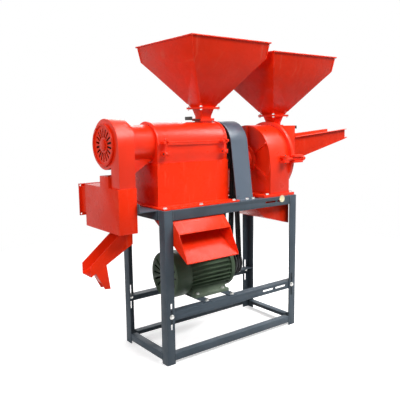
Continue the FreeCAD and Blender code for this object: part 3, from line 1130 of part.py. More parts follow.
flour_y = (s.flour_front, s.flour_back)
flour_top = leg_top - 2
wall = s.flour_wall
flour = prism("y", flour_y, [
    (s.flour_left, flour_top), (s.flour_right, flour_top), (s.flour_right, deck - s.flour_drop),
    (s.flour_lip_x, deck - s.flour_lip_drop), (s.flour_knee_x, deck - s.flour_knee_drop),
    (s.flour_heel_x, deck - s.flour_heel_drop), (s.flour_left, deck - s.flour_back_drop)])
flour_in = prism("y", (s.flour_front + wall, s.flour_back - wall), [
    (s.flour_left + wall, flour_top - wall), (s.flour_right - wall, flour_top - wall),
    (s.flour_right - wall, deck - s.flour_drop - 9), (s.flour_lip_x - 2, deck - s.flour_drop - 9),
    (s.flour_lip_x - 2, deck - s.flour_lip_drop + wall * 1.3),
    (s.flour_knee_x + 1, deck - s.flour_knee_drop + wall),
    (s.flour_heel_x + 1, deck - s.flour_heel_drop + wall), (s.flour_left + wall, deck - s.flour_back_drop)])
flour_neck = box(fall_x, fall_y, (flour_top - wall, deck))
flour_way = box((fall_x[0] + s.sheet, fall_x[1] - s.sheet), (fall_y[0] + s.sheet, fall_y[1] - s.sheet),
                (flour_top - 9, deck + 1))
node(cut(fuse(flour, flour_neck), flour_in, flour_way), "flour_outlet")

# ---- hoppers, inlet funnels and slide gates ----


def hopper_set(name, x, foot_z):
    """A bolted funnel and the sheet hopper that stands on it."""
    flange_z = foot_z + s.funnel_height
    half = s.hopper_flange / 2
    foot_half = s.neck / 2 + 12
    wide_y = (s.axis_y - half, s.axis_y + half)
    flange = box((x - half, x + half), wide_y, (flange_z - s.flange_plate, flange_z))
    plate = box((x - foot_half, x + foot_half), (s.axis_y - foot_half, s.axis_y + foot_half),
                (foot_z, foot_z + s.flange_plate))
    wall2 = 2 * s.funnel_wall
    shell = pyramid(x, s.axis_y, foot_z, [(0, s.neck + wall2), (14, s.neck + wall2),
                                          (s.funnel_height, s.hopper_foot + wall2)])
    bore = pyramid(x, s.axis_y, foot_z, [(-1, s.neck), (14, s.neck), (s.funnel_height + 1, s.hopper_foot)])
    places = [(x + sx * s.hopper_bolt, s.axis_y + sy * s.hopper_bolt) for sx, sy in corners]
    span = (flange_z - 20, flange_z + 20)
    node(cut(fuse(shell, flange, plate), bore, *holes("z", span, places, s.small_r)), f"{name}_inlet_funnel")
    band_z = s.hopper_height - s.band_height
    sheet2 = 2 * s.hopper_sheet
    levels = [(0, s.hopper_foot), (band_z, s.hopper_band), (s.hopper_height, s.hopper_mouth)]
    outer = pyramid(x, s.axis_y, flange_z, [(z, Term(w) + sheet2) for z, w in levels])
    inner = pyramid(x, s.axis_y, flange_z - 1, [(z, w) for z, w in levels] + [
        (s.hopper_height + 9, s.hopper_mouth)])
    upper = box((x - half, x + half), wide_y, (flange_z, flange_z + s.flange_plate))
    rim = s.hopper_mouth / 2 + s.rim_lip
    top = flange_z + s.hopper_height
    lip = box((x - rim, x + rim), (s.axis_y - rim, s.axis_y + rim), (top - s.rim_lip_height, top))
    node(cut(fuse(outer, upper, lip), inner, *holes("z", span, places, s.small_r)), f"{name}_hopper")
    bolts(f"{name}_hopper_bolts", "z", 1, [(px, py, flange_z + s.flange_plate) for px, py in places],
          2 * s.flange_plate + 6, radius=s.small_r, flats=s.small_flats, head=s.small_head)


hopper_set("mill", s.mill_hopper_x, guide_top)
hopper_set("crusher", s.crusher_hopper_x, throat_top)

gate_y = (s.axis_y - gate_half, s.axis_y + gate_half)
gate_z = (stub_top + s.face_gap, stub_top + s.face_gap + s.gate_wall)
node(fuse(box((s.gate_end, hopper_x + s.neck / 2 + 3), gate_y, gate_z),
          box((s.gate_end - 3, s.gate_end), gate_y, (gate_z[0], gate_z[1] + s.gate_handle))),
     "mill_feed_gate")
gate_z = (crusher_gate_z, crusher_gate_z + s.gate_wall)
node(fuse(box((feed_x - s.neck / 2 - 3, s.crusher_gate_end), gate_y, gate_z),
          box((s.crusher_gate_end, s.crusher_gate_end + 3), gate_y, (gate_z[0], gate_z[1] + s.gate_handle))),
     "crusher_feed_gate")

# ---- motor ----

stator_x = (s.stator_left, s.stator_right)
fins = ringed((s.stator_left + 4, s.stator_right - 4), block_points(s.stator_r - 2, s.fin_r, s.fin_half),
              s.fins, motor_axis)
pads = [box((s.pad_left, s.pad_right), side(sy, s.foot_reach, 40), (bar_top, pad_top)) for sy in (-1, 1)]
pedestal = box((s.pad_left, s.pad_right), (-s.foot_inner - 14, s.foot_inner + 14),
               (bar_top + 6, pedestal_top))
seat_cut = box((s.terminal_left - 3, s.terminal_right + 3), (-s.terminal_half - 3, s.terminal_half + 3),
               (terminal_base, terminal_base + 30))
foot_spots = [(x, sy * s.foot_y) for x in (s.foot_left_x, s.foot_right_x) for sy in (-1, 1)]
node(cut(fuse(rod("x", stator_x, motor_axis, s.stator_r), fins, pedestal, *pads),
         rod("x", (s.stator_left - 1, s.stator_right + 1), motor_axis, s.stator_bore), seat_cut,
         *holes("z", (bar_top - 1, pad_top + 1), foot_spots)), "motor_stator")
bells = []
for span, boss in (((s.stator_right, s.bell_right), (s.bell_right, s.bell_right + s.boss_wall)),
                   ((s.bell_left, s.stator_left), (s.stator_left - 1, s.stator_left + 2))):
    end = fuse(rod("x", span, motor_axis, s.bell_r), rod("x", boss, motor_axis, s.boss_r))
    bells.append(cut(end, rod("x", (s.bell_left - 1, s.bell_right + 9), motor_axis,
                              s.motor_shaft_r + s.run_gap)))
node(group(*bells), "motor_end_bells")
cowl_x = (s.cowl_left, s.bell_left)
vents = ringed((s.cowl_left - 1, s.cowl_left + 5), block_points(26, 84, s.cowl_slot_half), s.cowl_slots,
               motor_axis)
node(cut(rod("x", cowl_x, motor_axis, s.cowl_r),
         rod("x", (s.cowl_left + s.cowl_wall, s.bell_left + 1), motor_axis, s.cowl_r - s.cowl_wall), vents),
     "motor_fan_cover")
lid_z = (terminal_top - 16, terminal_top)
term_x = (s.terminal_left, s.terminal_right)
term_y = (-s.terminal_half, s.terminal_half)
node(cut(fuse(box(term_x, term_y, (terminal_base, lid_z[0])),
              rod("y", (-s.terminal_half - 16, 1 - s.terminal_half), (s.terminal_left + 34, terminal_base + 22), 10)),
         box((s.terminal_left + 4, s.terminal_right - 4), (4 - s.terminal_half, s.terminal_half - 4),
             (terminal_base + 4, terminal_top)),
         rod("y", (-s.terminal_half - 17, 6 - s.terminal_half), (s.terminal_left + 34, terminal_base + 22), 5)),
     "motor_terminal_box")
node(box((s.terminal_left - 2, s.terminal_right + 2), (-s.terminal_half - 2, s.terminal_half + 2), lid_z),
     "terminal_box_lid")

core_x = (s.stator_left + 22, s.stator_right - 22)
node(fuse(rod("x", (s.motor_shaft_left, s.motor_shaft_end), motor_axis, s.motor_shaft_r),
          rod("x", core_x, motor_axis, s.stator_bore - s.rotor_gap)), "motor_shaft")
vane_x = (s.motor_fan_left, s.motor_fan_left + s.motor_fan_width)
vanes = ringed(vane_x, block_points(20, s.motor_fan_r, 2), s.motor_fan_blades, motor_axis)
node(cut(fuse(rod("x", vane_x, motor_axis, 24), vanes,
              rod("x", (vane_x[1] - 3, vane_x[1]), motor_axis, s.motor_fan_r)),
         rod("x", (vane_x[0] - 1, vane_x[1] + 1), motor_axis, s.motor_shaft_r)), "motor_fan")
frame_set += [bolt("z", 1, (x, y, pad_top), 20) for x, y in foot_spots]

# ---- bolts on the top frame ----

foot_top = deck + s.foot_wall
frame_set += [bolt("z", 1, (x, y, foot_top), s.foot_wall + 14) for x, y in frame_bolts]
frame_set += [bolt("z", 1, (x, y, crusher_floor), crusher_floor - deck + 14) for x, y in base_bolts]
frame_set += [bolt("z", 1, (x, y, deck + s.guard_foot_wall), s.guard_foot_wall + 12) for x, y in guard_spots]
screw = fuse(rod("y", (-leg_y - s.big_washer_wall, -leg_y), (s.big_washer_x, big_washer_z), s.big_washer_r),
             bolt("y", -1, (s.big_washer_x, -leg_y - s.big_washer_wall, big_washer_z), 20))
node(group(*frame_set, screw), "frame_bolts")

# ---- check and export ----

doc.recompute()
bad = [item.Label for item in doc.Objects if "Invalid" in item.State or "Error" in item.State]
for part in nodes:
    if part.Shape.isNull() or not part.Shape.isValid():
        bad.append(part.Label)
if bad:
    raise RuntimeError("these did not build: " + ", ".join(bad))
os.makedirs("parts", exist_ok=True)
for part in nodes:
    part.Shape.exportStep(f"parts/{part.Label}.step")
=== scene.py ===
import math

import bmesh
import bpy
from mathutils import Matrix, Vector


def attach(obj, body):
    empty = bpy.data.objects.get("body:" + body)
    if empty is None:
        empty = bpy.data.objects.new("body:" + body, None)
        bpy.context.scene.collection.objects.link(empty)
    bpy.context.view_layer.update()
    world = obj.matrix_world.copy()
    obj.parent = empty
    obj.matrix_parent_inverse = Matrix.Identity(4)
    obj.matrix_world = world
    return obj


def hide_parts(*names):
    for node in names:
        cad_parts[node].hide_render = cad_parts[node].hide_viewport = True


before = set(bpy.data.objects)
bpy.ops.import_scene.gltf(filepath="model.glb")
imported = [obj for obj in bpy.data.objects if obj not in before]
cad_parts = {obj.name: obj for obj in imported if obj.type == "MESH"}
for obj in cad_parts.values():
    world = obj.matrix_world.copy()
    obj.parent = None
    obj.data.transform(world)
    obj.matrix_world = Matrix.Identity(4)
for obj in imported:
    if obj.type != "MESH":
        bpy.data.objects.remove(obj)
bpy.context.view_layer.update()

# ---- Stand ----
# Four angle-iron legs, a punched top frame and a lower frame, all welded. Mild steel with mill
# scale under brushed blue-grey paint, which is thin on the arrises; the lighter edges there are
# partly a painted highlight.


def principled(name, colour, rough, metal=0.0, specular=0.5):
    """A new material and its shader, with the plain values set on the shader's own sockets."""
    material = bpy.data.materials.new(name)
    material.use_nodes = True
    shader = material.node_tree.nodes["Principled BSDF"]
    shader.inputs["Base Color"].default_value = (*colour, 1)
    shader.inputs["Roughness"].default_value = rough
    shader.inputs["Metallic"].default_value = metal
    shader.inputs["Specular IOR Level"].default_value = specular
    return material, shader


def join_sockets(tree, *pairs):
    """Links each pair of sockets, source first."""
    for source, target in pairs:
        tree.links.new(source, target)


def noise(tree, scale, detail=4.0, stretch=(1, 1, 1), turn=(0, 0, 0)):
    """A noise texture on object coordinates, which are metres from the part's own origin."""
    place = tree.nodes.new("ShaderNodeTexCoord")
    mapping = tree.nodes.new("ShaderNodeMapping")
    mapping.inputs["Scale"].default_value = stretch
    mapping.inputs["Rotation"].default_value = [math.radians(angle) for angle in turn]
    texture = tree.nodes.new("ShaderNodeTexNoise")
    texture.inputs["Scale"].default_value = scale
    texture.inputs["Detail"].default_value = detail
    join_sockets(tree, (place.outputs["Object"], mapping.inputs["Vector"]),
                 (mapping.outputs["Vector"], texture.inputs["Vector"]))
    return texture.outputs["Fac"]


def ramp(tree, source, *stops):
    """Maps a value to colours or greys; stops are (position, colour or grey) pairs."""
    node = tree.nodes.new("ShaderNodeValToRGB")
    elements = node.color_ramp.elements
    while len(elements) < len(stops):
        elements.new(0.5)
    for element, (position, value) in zip(elements, stops):
        element.position = position
        element.color = (*value, 1) if isinstance(value, tuple) else (value, value, value, 1)
    tree.links.new(source, node.inputs["Fac"])
    return node.outputs["Color"]


def blend_colours(tree, mask, below, above):
    """Puts one colour over another where the mask is white."""
    node = tree.nodes.new("ShaderNodeMix")
    node.data_type = "RGBA"
    mask_in, below_in, above_in = node.inputs[0], node.inputs[6], node.inputs[7]
    tree.links.new(mask, mask_in)
    for socket, value in ((below_in, below), (above_in, above)):
        if isinstance(value, tuple):
            socket.default_value = (*value, 1)
        else:
            tree.links.new(value, socket)
    return node.outputs[2]


def times(tree, first, second):
    """The product of two values, the second a socket or a number."""
    node = tree.nodes.new("ShaderNodeMath")
    node.operation = "MULTIPLY"
    tree.links.new(first, node.inputs[0])
    if isinstance(second, (int, float)):
        node.inputs[1].default_value = second
    else:
        tree.links.new(second, node.inputs[1])
    return node.outputs[0]


def near_edges(tree, radius):
    """White within the radius of an edge, black on the open faces."""
    rounded = tree.nodes.new("ShaderNodeBevel")
    rounded.samples = 4
    rounded.inputs["Radius"].default_value = radius
    plain = tree.nodes.new("ShaderNodeNewGeometry")
    agree = tree.nodes.new("ShaderNodeVectorMath")
    agree.operation = "DOT_PRODUCT"
    join_sockets(tree, (rounded.outputs["Normal"], agree.inputs[0]),
                 (plain.outputs["Normal"], agree.inputs[1]))
    return ramp(tree, agree.outputs["Value"], (0.86, 1.0), (0.985, 0.0))


def bumpy(tree, shader, height, strength, distance):
    """A bump from a height socket on the shader's normal."""
    bump = tree.nodes.new("ShaderNodeBump")
    bump.inputs["Strength"].default_value = strength
    bump.inputs["Distance"].default_value = distance
    join_sockets(tree, (height, bump.inputs["Height"]), (bump.outputs["Normal"], shader.inputs["Normal"]))


def painted(name, colour, rough, mottle, wear_and_highlight_colour, edge_wear_and_highlight=0.5, grain=240.0, relief=0.06, specular=0.17,
            rubs=0.0):
    """Paint on steel: cloudy in tone, uneven in gloss, finely grained, and lighter along the edges,
    where it is worn thin and where a highlight is painted in.

    The worn colour shows in that edge band, as worn paint with a painted highlight, and in the
    rubs. rubs adds the pale strokes of sheets that have been leant and stacked.
    """
    material, shader = principled(name, colour, rough, specular=specular)
    tree = material.node_tree
    cloud_scale, patch_scale, rub_scale, gloss_scale = 7.0, 38.0, 5.0, 21.0
    wear_and_highlight_width, grain_height = 0.0024, 0.002
    dark = tuple(value * (1 - mottle) for value in colour)
    light = tuple(min(1.0, value * (1 + mottle)) for value in colour)
    tone = ramp(tree, noise(tree, cloud_scale), (0.36, dark), (0.5, colour), (0.66, light))
    patchy = ramp(tree, noise(tree, patch_scale, 6.0), (0.40, 0.0), (0.62, 1.0))
    # Lighter band along the edges: worn paint, and partly a painted highlight on the arrises.
    edge = times(tree, times(tree, near_edges(tree, wear_and_highlight_width), patchy), edge_wear_and_highlight)
    tone = blend_colours(tree, edge, tone, wear_and_highlight_colour)
    if rubs:
        strokes = noise(tree, rub_scale, 5.0, stretch=(16, 2.0, 1.6), turn=(12, 8, 25))
        rubbed = times(tree, ramp(tree, strokes, (0.61, 0.0), (0.72, 1.0)), rubs)
        tone = blend_colours(tree, rubbed, tone, wear_and_highlight_colour)
    tree.links.new(tone, shader.inputs["Base Color"])
    gloss = ramp(tree, noise(tree, gloss_scale), (0.3, rough * 0.8), (0.7, min(1.0, rough * 1.35)))
    tree.links.new(gloss, shader.inputs["Roughness"])
    bumpy(tree, shader, noise(tree, grain, 3.0), relief, grain_height)
    return material


def add_piece(name, mesh, material, body, slot, *nodes):
    """Puts a finished mesh in the scene as a piece that rides on a body and stands for CAD nodes."""
    piece = bpy.data.objects.new(name, mesh)
    bpy.context.scene.collection.objects.link(piece)
    mesh.materials.append(material)
    return declare(piece, body, slot, *nodes)


def declare(piece, body, slot, *nodes):
    """Says which body a piece rides on and hides the CAD nodes it stands for; slot is not used."""
    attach(piece, body)
    if nodes:
        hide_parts(*nodes)
    return piece


def apply_modifiers(piece):
    """Leaves the result of the modifiers as a plain mesh."""
    graph = bpy.context.evaluated_depsgraph_get()
    done = bpy.data.meshes.new_from_object(piece.evaluated_get(graph))
    piece.modifiers.clear()
    piece.data = done


def shade_round(piece, sharp=35):
    """Shades smooth across soft edges and keeps those sharper than the angle in degrees."""
    work = bmesh.new()
    work.from_mesh(piece.data)
    for face in work.faces:
        face.smooth = True
    for edge in work.edges:
        edge.smooth = len(edge.link_faces) == 2 and edge.calc_face_angle(0) < math.radians(sharp)
    work.to_mesh(piece.data)
    work.free()


def finished(node, body, slot, material, edge=0.0008, steps=2):
    """A CAD node with its facets merged and its edges rounded, which stands for the node."""
    same_point, flat_within, rounded_above = 1e-6, math.radians(1), math.radians(32)
    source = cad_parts[node]
    work = bmesh.new()
    work.from_mesh(source.data)
    work.transform(source.matrix_world)
    bmesh.ops.remove_doubles(work, verts=work.verts, dist=same_point)
    bmesh.ops.dissolve_limit(work, angle_limit=flat_within, verts=work.verts, edges=work.edges)
    mesh = bpy.data.meshes.new(node + "_finished")
    work.to_mesh(mesh)
    work.free()
    piece = add_piece(node + "_finished", mesh, material, body, slot, node)
    if edge:
        bevel = piece.modifiers.new("edges", "BEVEL")
        bevel.width = edge
        bevel.segments = steps
        bevel.limit_method = "ANGLE"
        bevel.angle_limit = rounded_above
        apply_modifiers(piece)
    shade_round(piece)
    return piece


# The second colour lightens the edges, as worn paint and as a painted highlight.
stand_grey, stand_wear_and_highlight = (0.068, 0.090, 0.112), (0.20, 0.22, 0.24)
stand_paint = painted("stand blue-grey paint", stand_grey, 0.42, 0.14, stand_wear_and_highlight, edge_wear_and_highlight=0.7)
for node in ("stand_legs", "stand_top_frame", "stand_lower_rails"):
    finished(node, "machine", "stand_paint", stand_paint)

# ---- Stand welds ----
# Short hand-laid fillets where the angles meet. Each bead is a row of overlapping drops, brushed
# over with the stand's paint.

middle_x, middle_y = -0.1355, 0.014
half_length, half_width, deck_height = 0.372, 0.1665, 0.634
angle_leg = 0.040
top_joint, floor_joint = (0.597, 0.629), (0.017, 0.043)
mitre_start, mitre_end = 0.037, 0.004
bead_radius = 0.0024


def curve_rows(name, lines, entry_values, build):
    """Runs a Geometry Nodes tree on straight lines and keeps the result as one plain mesh.

    lines are lists of points, entry_values the tree's named inputs. build gets the tree, its
    entry node and the curve socket, and gives back the geometry.
    """
    mesh = bpy.data.meshes.new(name)
    points = [point for line in lines for point in line]
    edges, start = [], 0
    for line in lines:
        edges += [(i, i + 1) for i in range(start, start + len(line) - 1)]
        start += len(line)
    mesh.from_pydata(points, edges, [])
    piece = bpy.data.objects.new(name, mesh)
    bpy.context.scene.collection.objects.link(piece)
    tree, entry, leave, sockets = new_tree(name, entry_values)
    curve = tree.nodes.new("GeometryNodeMeshToCurve")
    tree.links.new(entry.outputs["Geometry"], curve.inputs["Mesh"])
    tree.links.new(build(tree, entry, curve.outputs["Curve"]), leave.inputs["Geometry"])
    run_tree(piece, tree, sockets, entry_values)
    return piece


def new_tree(name, entry_values):
    """An empty Geometry Nodes tree with one named float input for each entry value."""
    tree = bpy.data.node_groups.new(name, "GeometryNodeTree")
    face = tree.interface
    face.new_socket("Geometry", in_out="INPUT", socket_type="NodeSocketGeometry")
    sockets = {label: face.new_socket(label, in_out="INPUT", socket_type="NodeSocketFloat")
               for label in entry_values}
    face.new_socket("Geometry", in_out="OUTPUT", socket_type="NodeSocketGeometry")
    return tree, tree.nodes.new("NodeGroupInput"), tree.nodes.new("NodeGroupOutput"), sockets


def run_tree(piece, tree, sockets, entry_values):
    """Sets the tree's inputs by identifier, evaluates it and keeps the mesh."""
    rows = piece.modifiers.new("rows", "NODES")
    rows.node_group = tree
    for label, value in entry_values.items():
        rows[sockets[label].identifier] = value
    apply_modifiers(piece)
    shade_round(piece)


def skinned(tree, geometry, material):
    """Realize Instances and Set Material, which end every tree."""
    real = tree.nodes.new("GeometryNodeRealizeInstances")
    skin = tree.nodes.new("GeometryNodeSetMaterial")
    skin.inputs["Material"].default_value = material
    join_sockets(tree, (geometry, real.inputs["Geometry"]),
                 (real.outputs["Geometry"], skin.inputs["Geometry"]))
    return skin.outputs["Geometry"]


def weld_beads(name, lines, radius, material, body, slot):
    """Rows of overlapping drops along straight lines."""
    def build(tree, entry, curve):
        sample = tree.nodes.new("GeometryNodeResampleCurve")
        sample.mode = "LENGTH"
        drop = tree.nodes.new("GeometryNodeMeshIcoSphere")
        drop.inputs["Subdivisions"].default_value = 2
        place = tree.nodes.new("GeometryNodeInstanceOnPoints")
        vary = tree.nodes.new("FunctionNodeRandomValue")
        vary.inputs["Seed"].default_value = 7
        smallest, largest = vary.inputs[2], vary.inputs[3]
        smallest.default_value = 0.85
        largest.default_value = 1.2
        join_sockets(tree, (curve, sample.inputs["Curve"]),
                     (entry.outputs["Pitch"], sample.inputs["Length"]),
                     (entry.outputs["Radius"], drop.inputs["Radius"]),
                     (sample.outputs["Curve"], place.inputs["Points"]),
                     (drop.outputs["Mesh"], place.inputs["Instance"]),
                     (vary.outputs[1], place.inputs["Scale"]))
        return skinned(tree, place.outputs["Instances"], material)
    step_per_radius = 1.1
    piece = curve_rows(name, lines, {"Pitch": radius * step_per_radius, "Radius": radius}, build)
    return declare(piece, body, slot)


stand_weld_lines = []
for side_x in (-1, 1):
    for side_y in (-1, 1):
        corner_x, corner_y = middle_x + side_x * half_length, middle_y + side_y * half_width
        inner_x, inner_y = corner_x - side_x * angle_leg, corner_y - side_y * angle_leg
        for low, high in (top_joint, floor_joint):
            stand_weld_lines.append([(inner_x, corner_y, low), (inner_x, corner_y, high)])
            stand_weld_lines.append([(corner_x, inner_y, low), (corner_x, inner_y, high)])
        stand_weld_lines.append([(inner_x, corner_y - side_y * mitre_start, deck_height),
                                 (inner_x, corner_y - side_y * mitre_end, deck_height)])
weld_beads("stand_welds", stand_weld_lines, bead_radius, stand_paint, "machine", "stand_paint")

# ---- Motor rails and cross bars ----
# Two slotted angles bolted between the legs, and two flat bars across them that let the motor
# slide to tighten the belts. Same steel and paint as the stand.

for node in ("motor_rails", "motor_cross_bars"):
    finished(node, "machine", "stand_paint", stand_paint, edge=0.0006)

# ---- Motor ----
# A foot-mounted induction motor: ribbed cast stator, end bells, pressed fan cover and terminal
# box. Sprayed dark green; the foot is dusty and paler, because grain dust settles there.

# The second colour lightens the motor's edges, as worn paint and as a painted highlight.
motor_green, motor_wear_and_highlight, dust_colour = (0.060, 0.094, 0.056), (0.16, 0.20, 0.15), (0.19, 0.24, 0.18)
dust_ends, dust_thick, dust_scale = 0.262, 0.238, 30.0
motor_paint = painted("motor green paint", motor_green, 0.40, 0.2, motor_wear_and_highlight, edge_wear_and_highlight=0.5, relief=0.12)
for node in ("motor_end_bells", "motor_fan_cover", "motor_terminal_box", "terminal_box_lid"):
    finished(node, "machine", "motor_paint", motor_paint, edge=0.0006)

dusty_green = painted("motor stator paint", motor_green, 0.45, 0.2, motor_wear_and_highlight, edge_wear_and_highlight=0.5, relief=0.16)
tree = dusty_green.node_tree
shader = tree.nodes["Principled BSDF"]
height_of = tree.nodes.new("ShaderNodeSeparateXYZ")
place = tree.nodes.new("ShaderNodeTexCoord")
foot_level = tree.nodes.new("ShaderNodeMapRange")
foot_level.inputs["From Min"].default_value = dust_ends
foot_level.inputs["From Max"].default_value = dust_thick
join_sockets(tree, (place.outputs["Object"], height_of.inputs[0]),
             (height_of.outputs["Z"], foot_level.inputs["Value"]))
speckled = ramp(tree, noise(tree, dust_scale, 6.0), (0.3, 0.5), (0.6, 1.0))
dusted = times(tree, foot_level.outputs["Result"], speckled)
below = shader.inputs["Base Color"].links[0].from_socket
tree.links.new(blend_colours(tree, dusted, below, dust_colour), shader.inputs["Base Color"])
finished("motor_stator", "machine", "motor_paint", dusty_green, edge=0.0006)


def steel(name, colour, rough, grain_stretch=(1, 1, 1), mottle=0.15, metal=1.0, relief=0.05):
    """Bare or plated steel with fine marks, drawn out along one way where the stretch says so."""
    material, shader = principled(name, colour, rough, metal)
    tree = material.node_tree
    mark_scale, cloud_scale, mark_height = 180.0, 30.0, 0.001
    marks = noise(tree, mark_scale, stretch=grain_stretch)
    dark = tuple(value * (1 - mottle) for value in colour)
    light = tuple(min(1.0, value * (1 + mottle)) for value in colour)
    tone = ramp(tree, noise(tree, cloud_scale), (0.35, dark), (0.65, light))
    tree.links.new(tone, shader.inputs["Base Color"])
    gloss = ramp(tree, marks, (0.3, rough * 0.75), (0.7, min(1.0, rough * 1.4)))
    tree.links.new(gloss, shader.inputs["Roughness"])
    bumpy(tree, shader, marks, relief, mark_height)
    return material


ground_steel = steel("ground steel", (0.50, 0.50, 0.51), 0.30, grain_stretch=(8, 1, 1))
cast_iron = steel("bare cast iron", (0.11, 0.11, 0.115), 0.6, mottle=0.25, metal=0.6, relief=0.25)
finished("motor_shaft", "motor_rotor", "ground_steel", ground_steel)
finished("motor_fan", "motor_rotor", "cast_iron", cast_iron)
finished("motor_pulley", "motor_rotor", "cast_iron", cast_iron, edge=0.0)

# ---- Mill body and skirt ----
# A grey-iron trough over a folded-plate skirt with a turned-out foot. Both are sprayed with
# red-orange enamel; the casting keeps the sand's roughness under it.

red = (0.90, 0.030, 0.004)
# Paler red for worn edges and rubs; on the edges it is also a painted highlight.
red_wear_and_highlight = (0.93, 0.16, 0.09)
cast_red = painted("red enamel on castings", red, 0.34, 0.07, red_wear_and_highlight, edge_wear_and_highlight=0.55, grain=130.0,
                   relief=0.12, specular=0.38)
sheet_red = painted("red enamel on sheet", red, 0.27, 0.05, red_wear_and_highlight, edge_wear_and_highlight=0.5, grain=300.0,
                    relief=0.05, specular=0.13, rubs=0.3)
finished("mill_body", "machine", "red_paint", cast_red, edge=0.0016)
finished("bran_skirt", "machine", "red_paint", sheet_red, edge=0.0010)

# ---- Screw, roller and sieves ----
# The feed screw pushes paddy from the inlet barrel against the fluted roller, inside two
# half-round slotted sieves. All of it is cast or ground steel, bright where the grain rubs.

finished("mill_shaft", "mill_rotor", "ground_steel", ground_steel, edge=0.0)
for node in ("feed_screw", "milling_roller", "mill_pulley"):
    finished(node, "mill_rotor", "cast_iron", cast_iron, edge=0.0)
finished("feed_barrel", "machine", "cast_iron", cast_iron)
finished("mill_bearings", "machine", "cast_iron", cast_iron)
sieve_steel = steel("sieve steel", (0.36, 0.35, 0.34), 0.38, grain_stretch=(1, 6, 6), mottle=0.2)
for node in ("sieve_lower", "sieve_upper"):
    finished(node, "machine", "ground_steel", sieve_steel, edge=0.0)

# ---- Mill cover, latches and hinge pins ----
# The half-round casting tips back on its hinge. Two swing bolts with heavy nuts drop into the
# forks at its front edge, and are painted over with it.

finished("mill_cover", "cover", "red_paint", cast_red, edge=0.0016)
finished("cover_latch_left", "latch_left", "red_paint", cast_red)
finished("cover_latch_right", "latch_right", "red_paint", cast_red)
pin_steel = steel("oiled pin steel", (0.075, 0.073, 0.070), 0.45, mottle=0.25)
finished("hinge_pins", "machine", "dark_steel", pin_steel)

# ---- Mill hopper ----
# A welded sheet funnel, its slide gate and a pyramid hopper with a steep band and a wired rim.
# Flange to flange, four small zinc bolts hold it.

mill_hopper_place = (-0.1755, 0.024, 1.0376)
finished("mill_inlet_funnel", "cover", "red_paint", sheet_red)
finished("mill_hopper", "cover", "red_paint", sheet_red, edge=0.0007)
finished("mill_feed_gate", "mill_gate", "dark_steel", pin_steel)

foot_half, band_half, mouth_half, rim_half = 0.035, 0.194, 0.204, 0.2078
foot_rise, band_rise, lip_rise, mouth_rise = 0.006, 0.204, 0.264, 0.272
wire_radius, wire_drop, wire_overhang, corner_weld_radius = 0.0034, 0.0032, 0.0022, 0.0013


def square(place, half, rise):
    """The four corners of a level square above a hopper's foot."""
    x, y, z = place
    return [(x + sx * half, y + sy * half, z + rise) for sx, sy in ((-1, -1), (1, -1), (1, 1), (-1, 1))]


def wire_runs(name, lines, radius, material, body, slot, *nodes):
    """Round wire or rod along straight lines."""
    def build(tree, entry, curve):
        profile = tree.nodes.new("GeometryNodeCurvePrimitiveCircle")
        profile.inputs["Resolution"].default_value = 12
        sweep = tree.nodes.new("GeometryNodeCurveToMesh")
        sweep.inputs["Fill Caps"].default_value = True
        join_sockets(tree, (entry.outputs["Radius"], profile.inputs["Radius"]),
                     (curve, sweep.inputs["Curve"]),
                     (profile.outputs["Curve"], sweep.inputs["Profile Curve"]))
        return skinned(tree, sweep.outputs["Mesh"], material)
    return declare(curve_rows(name, lines, {"Radius": radius}, build), body, slot, *nodes)


def hopper_trim(name, place, body):
    """The wire rolled into the rim, and the welds up the four corners."""
    rim = square(place, rim_half, mouth_rise - wire_drop)
    runs = []
    for i, start in enumerate(rim):
        end = rim[(i + 1) % 4]
        along = (Vector(end) - Vector(start)).normalized() * wire_overhang
        runs.append([tuple(Vector(start) - along), tuple(Vector(end) + along)])
    wire_runs(name + "_rim_wire", runs, wire_radius, sheet_red, body, "red_paint")
    foot, band = square(place, foot_half, foot_rise), square(place, band_half, band_rise)
    mouth = square(place, mouth_half, lip_rise)
    seams = list(zip(foot, band)) + list(zip(band, mouth))
    wire_runs(name + "_corner_welds", seams, corner_weld_radius, sheet_red, body, "red_paint")


hopper_trim("mill_hopper", mill_hopper_place, "cover")

zinc = steel("zinc plate", (0.62, 0.62, 0.60), 0.38, mottle=0.1)


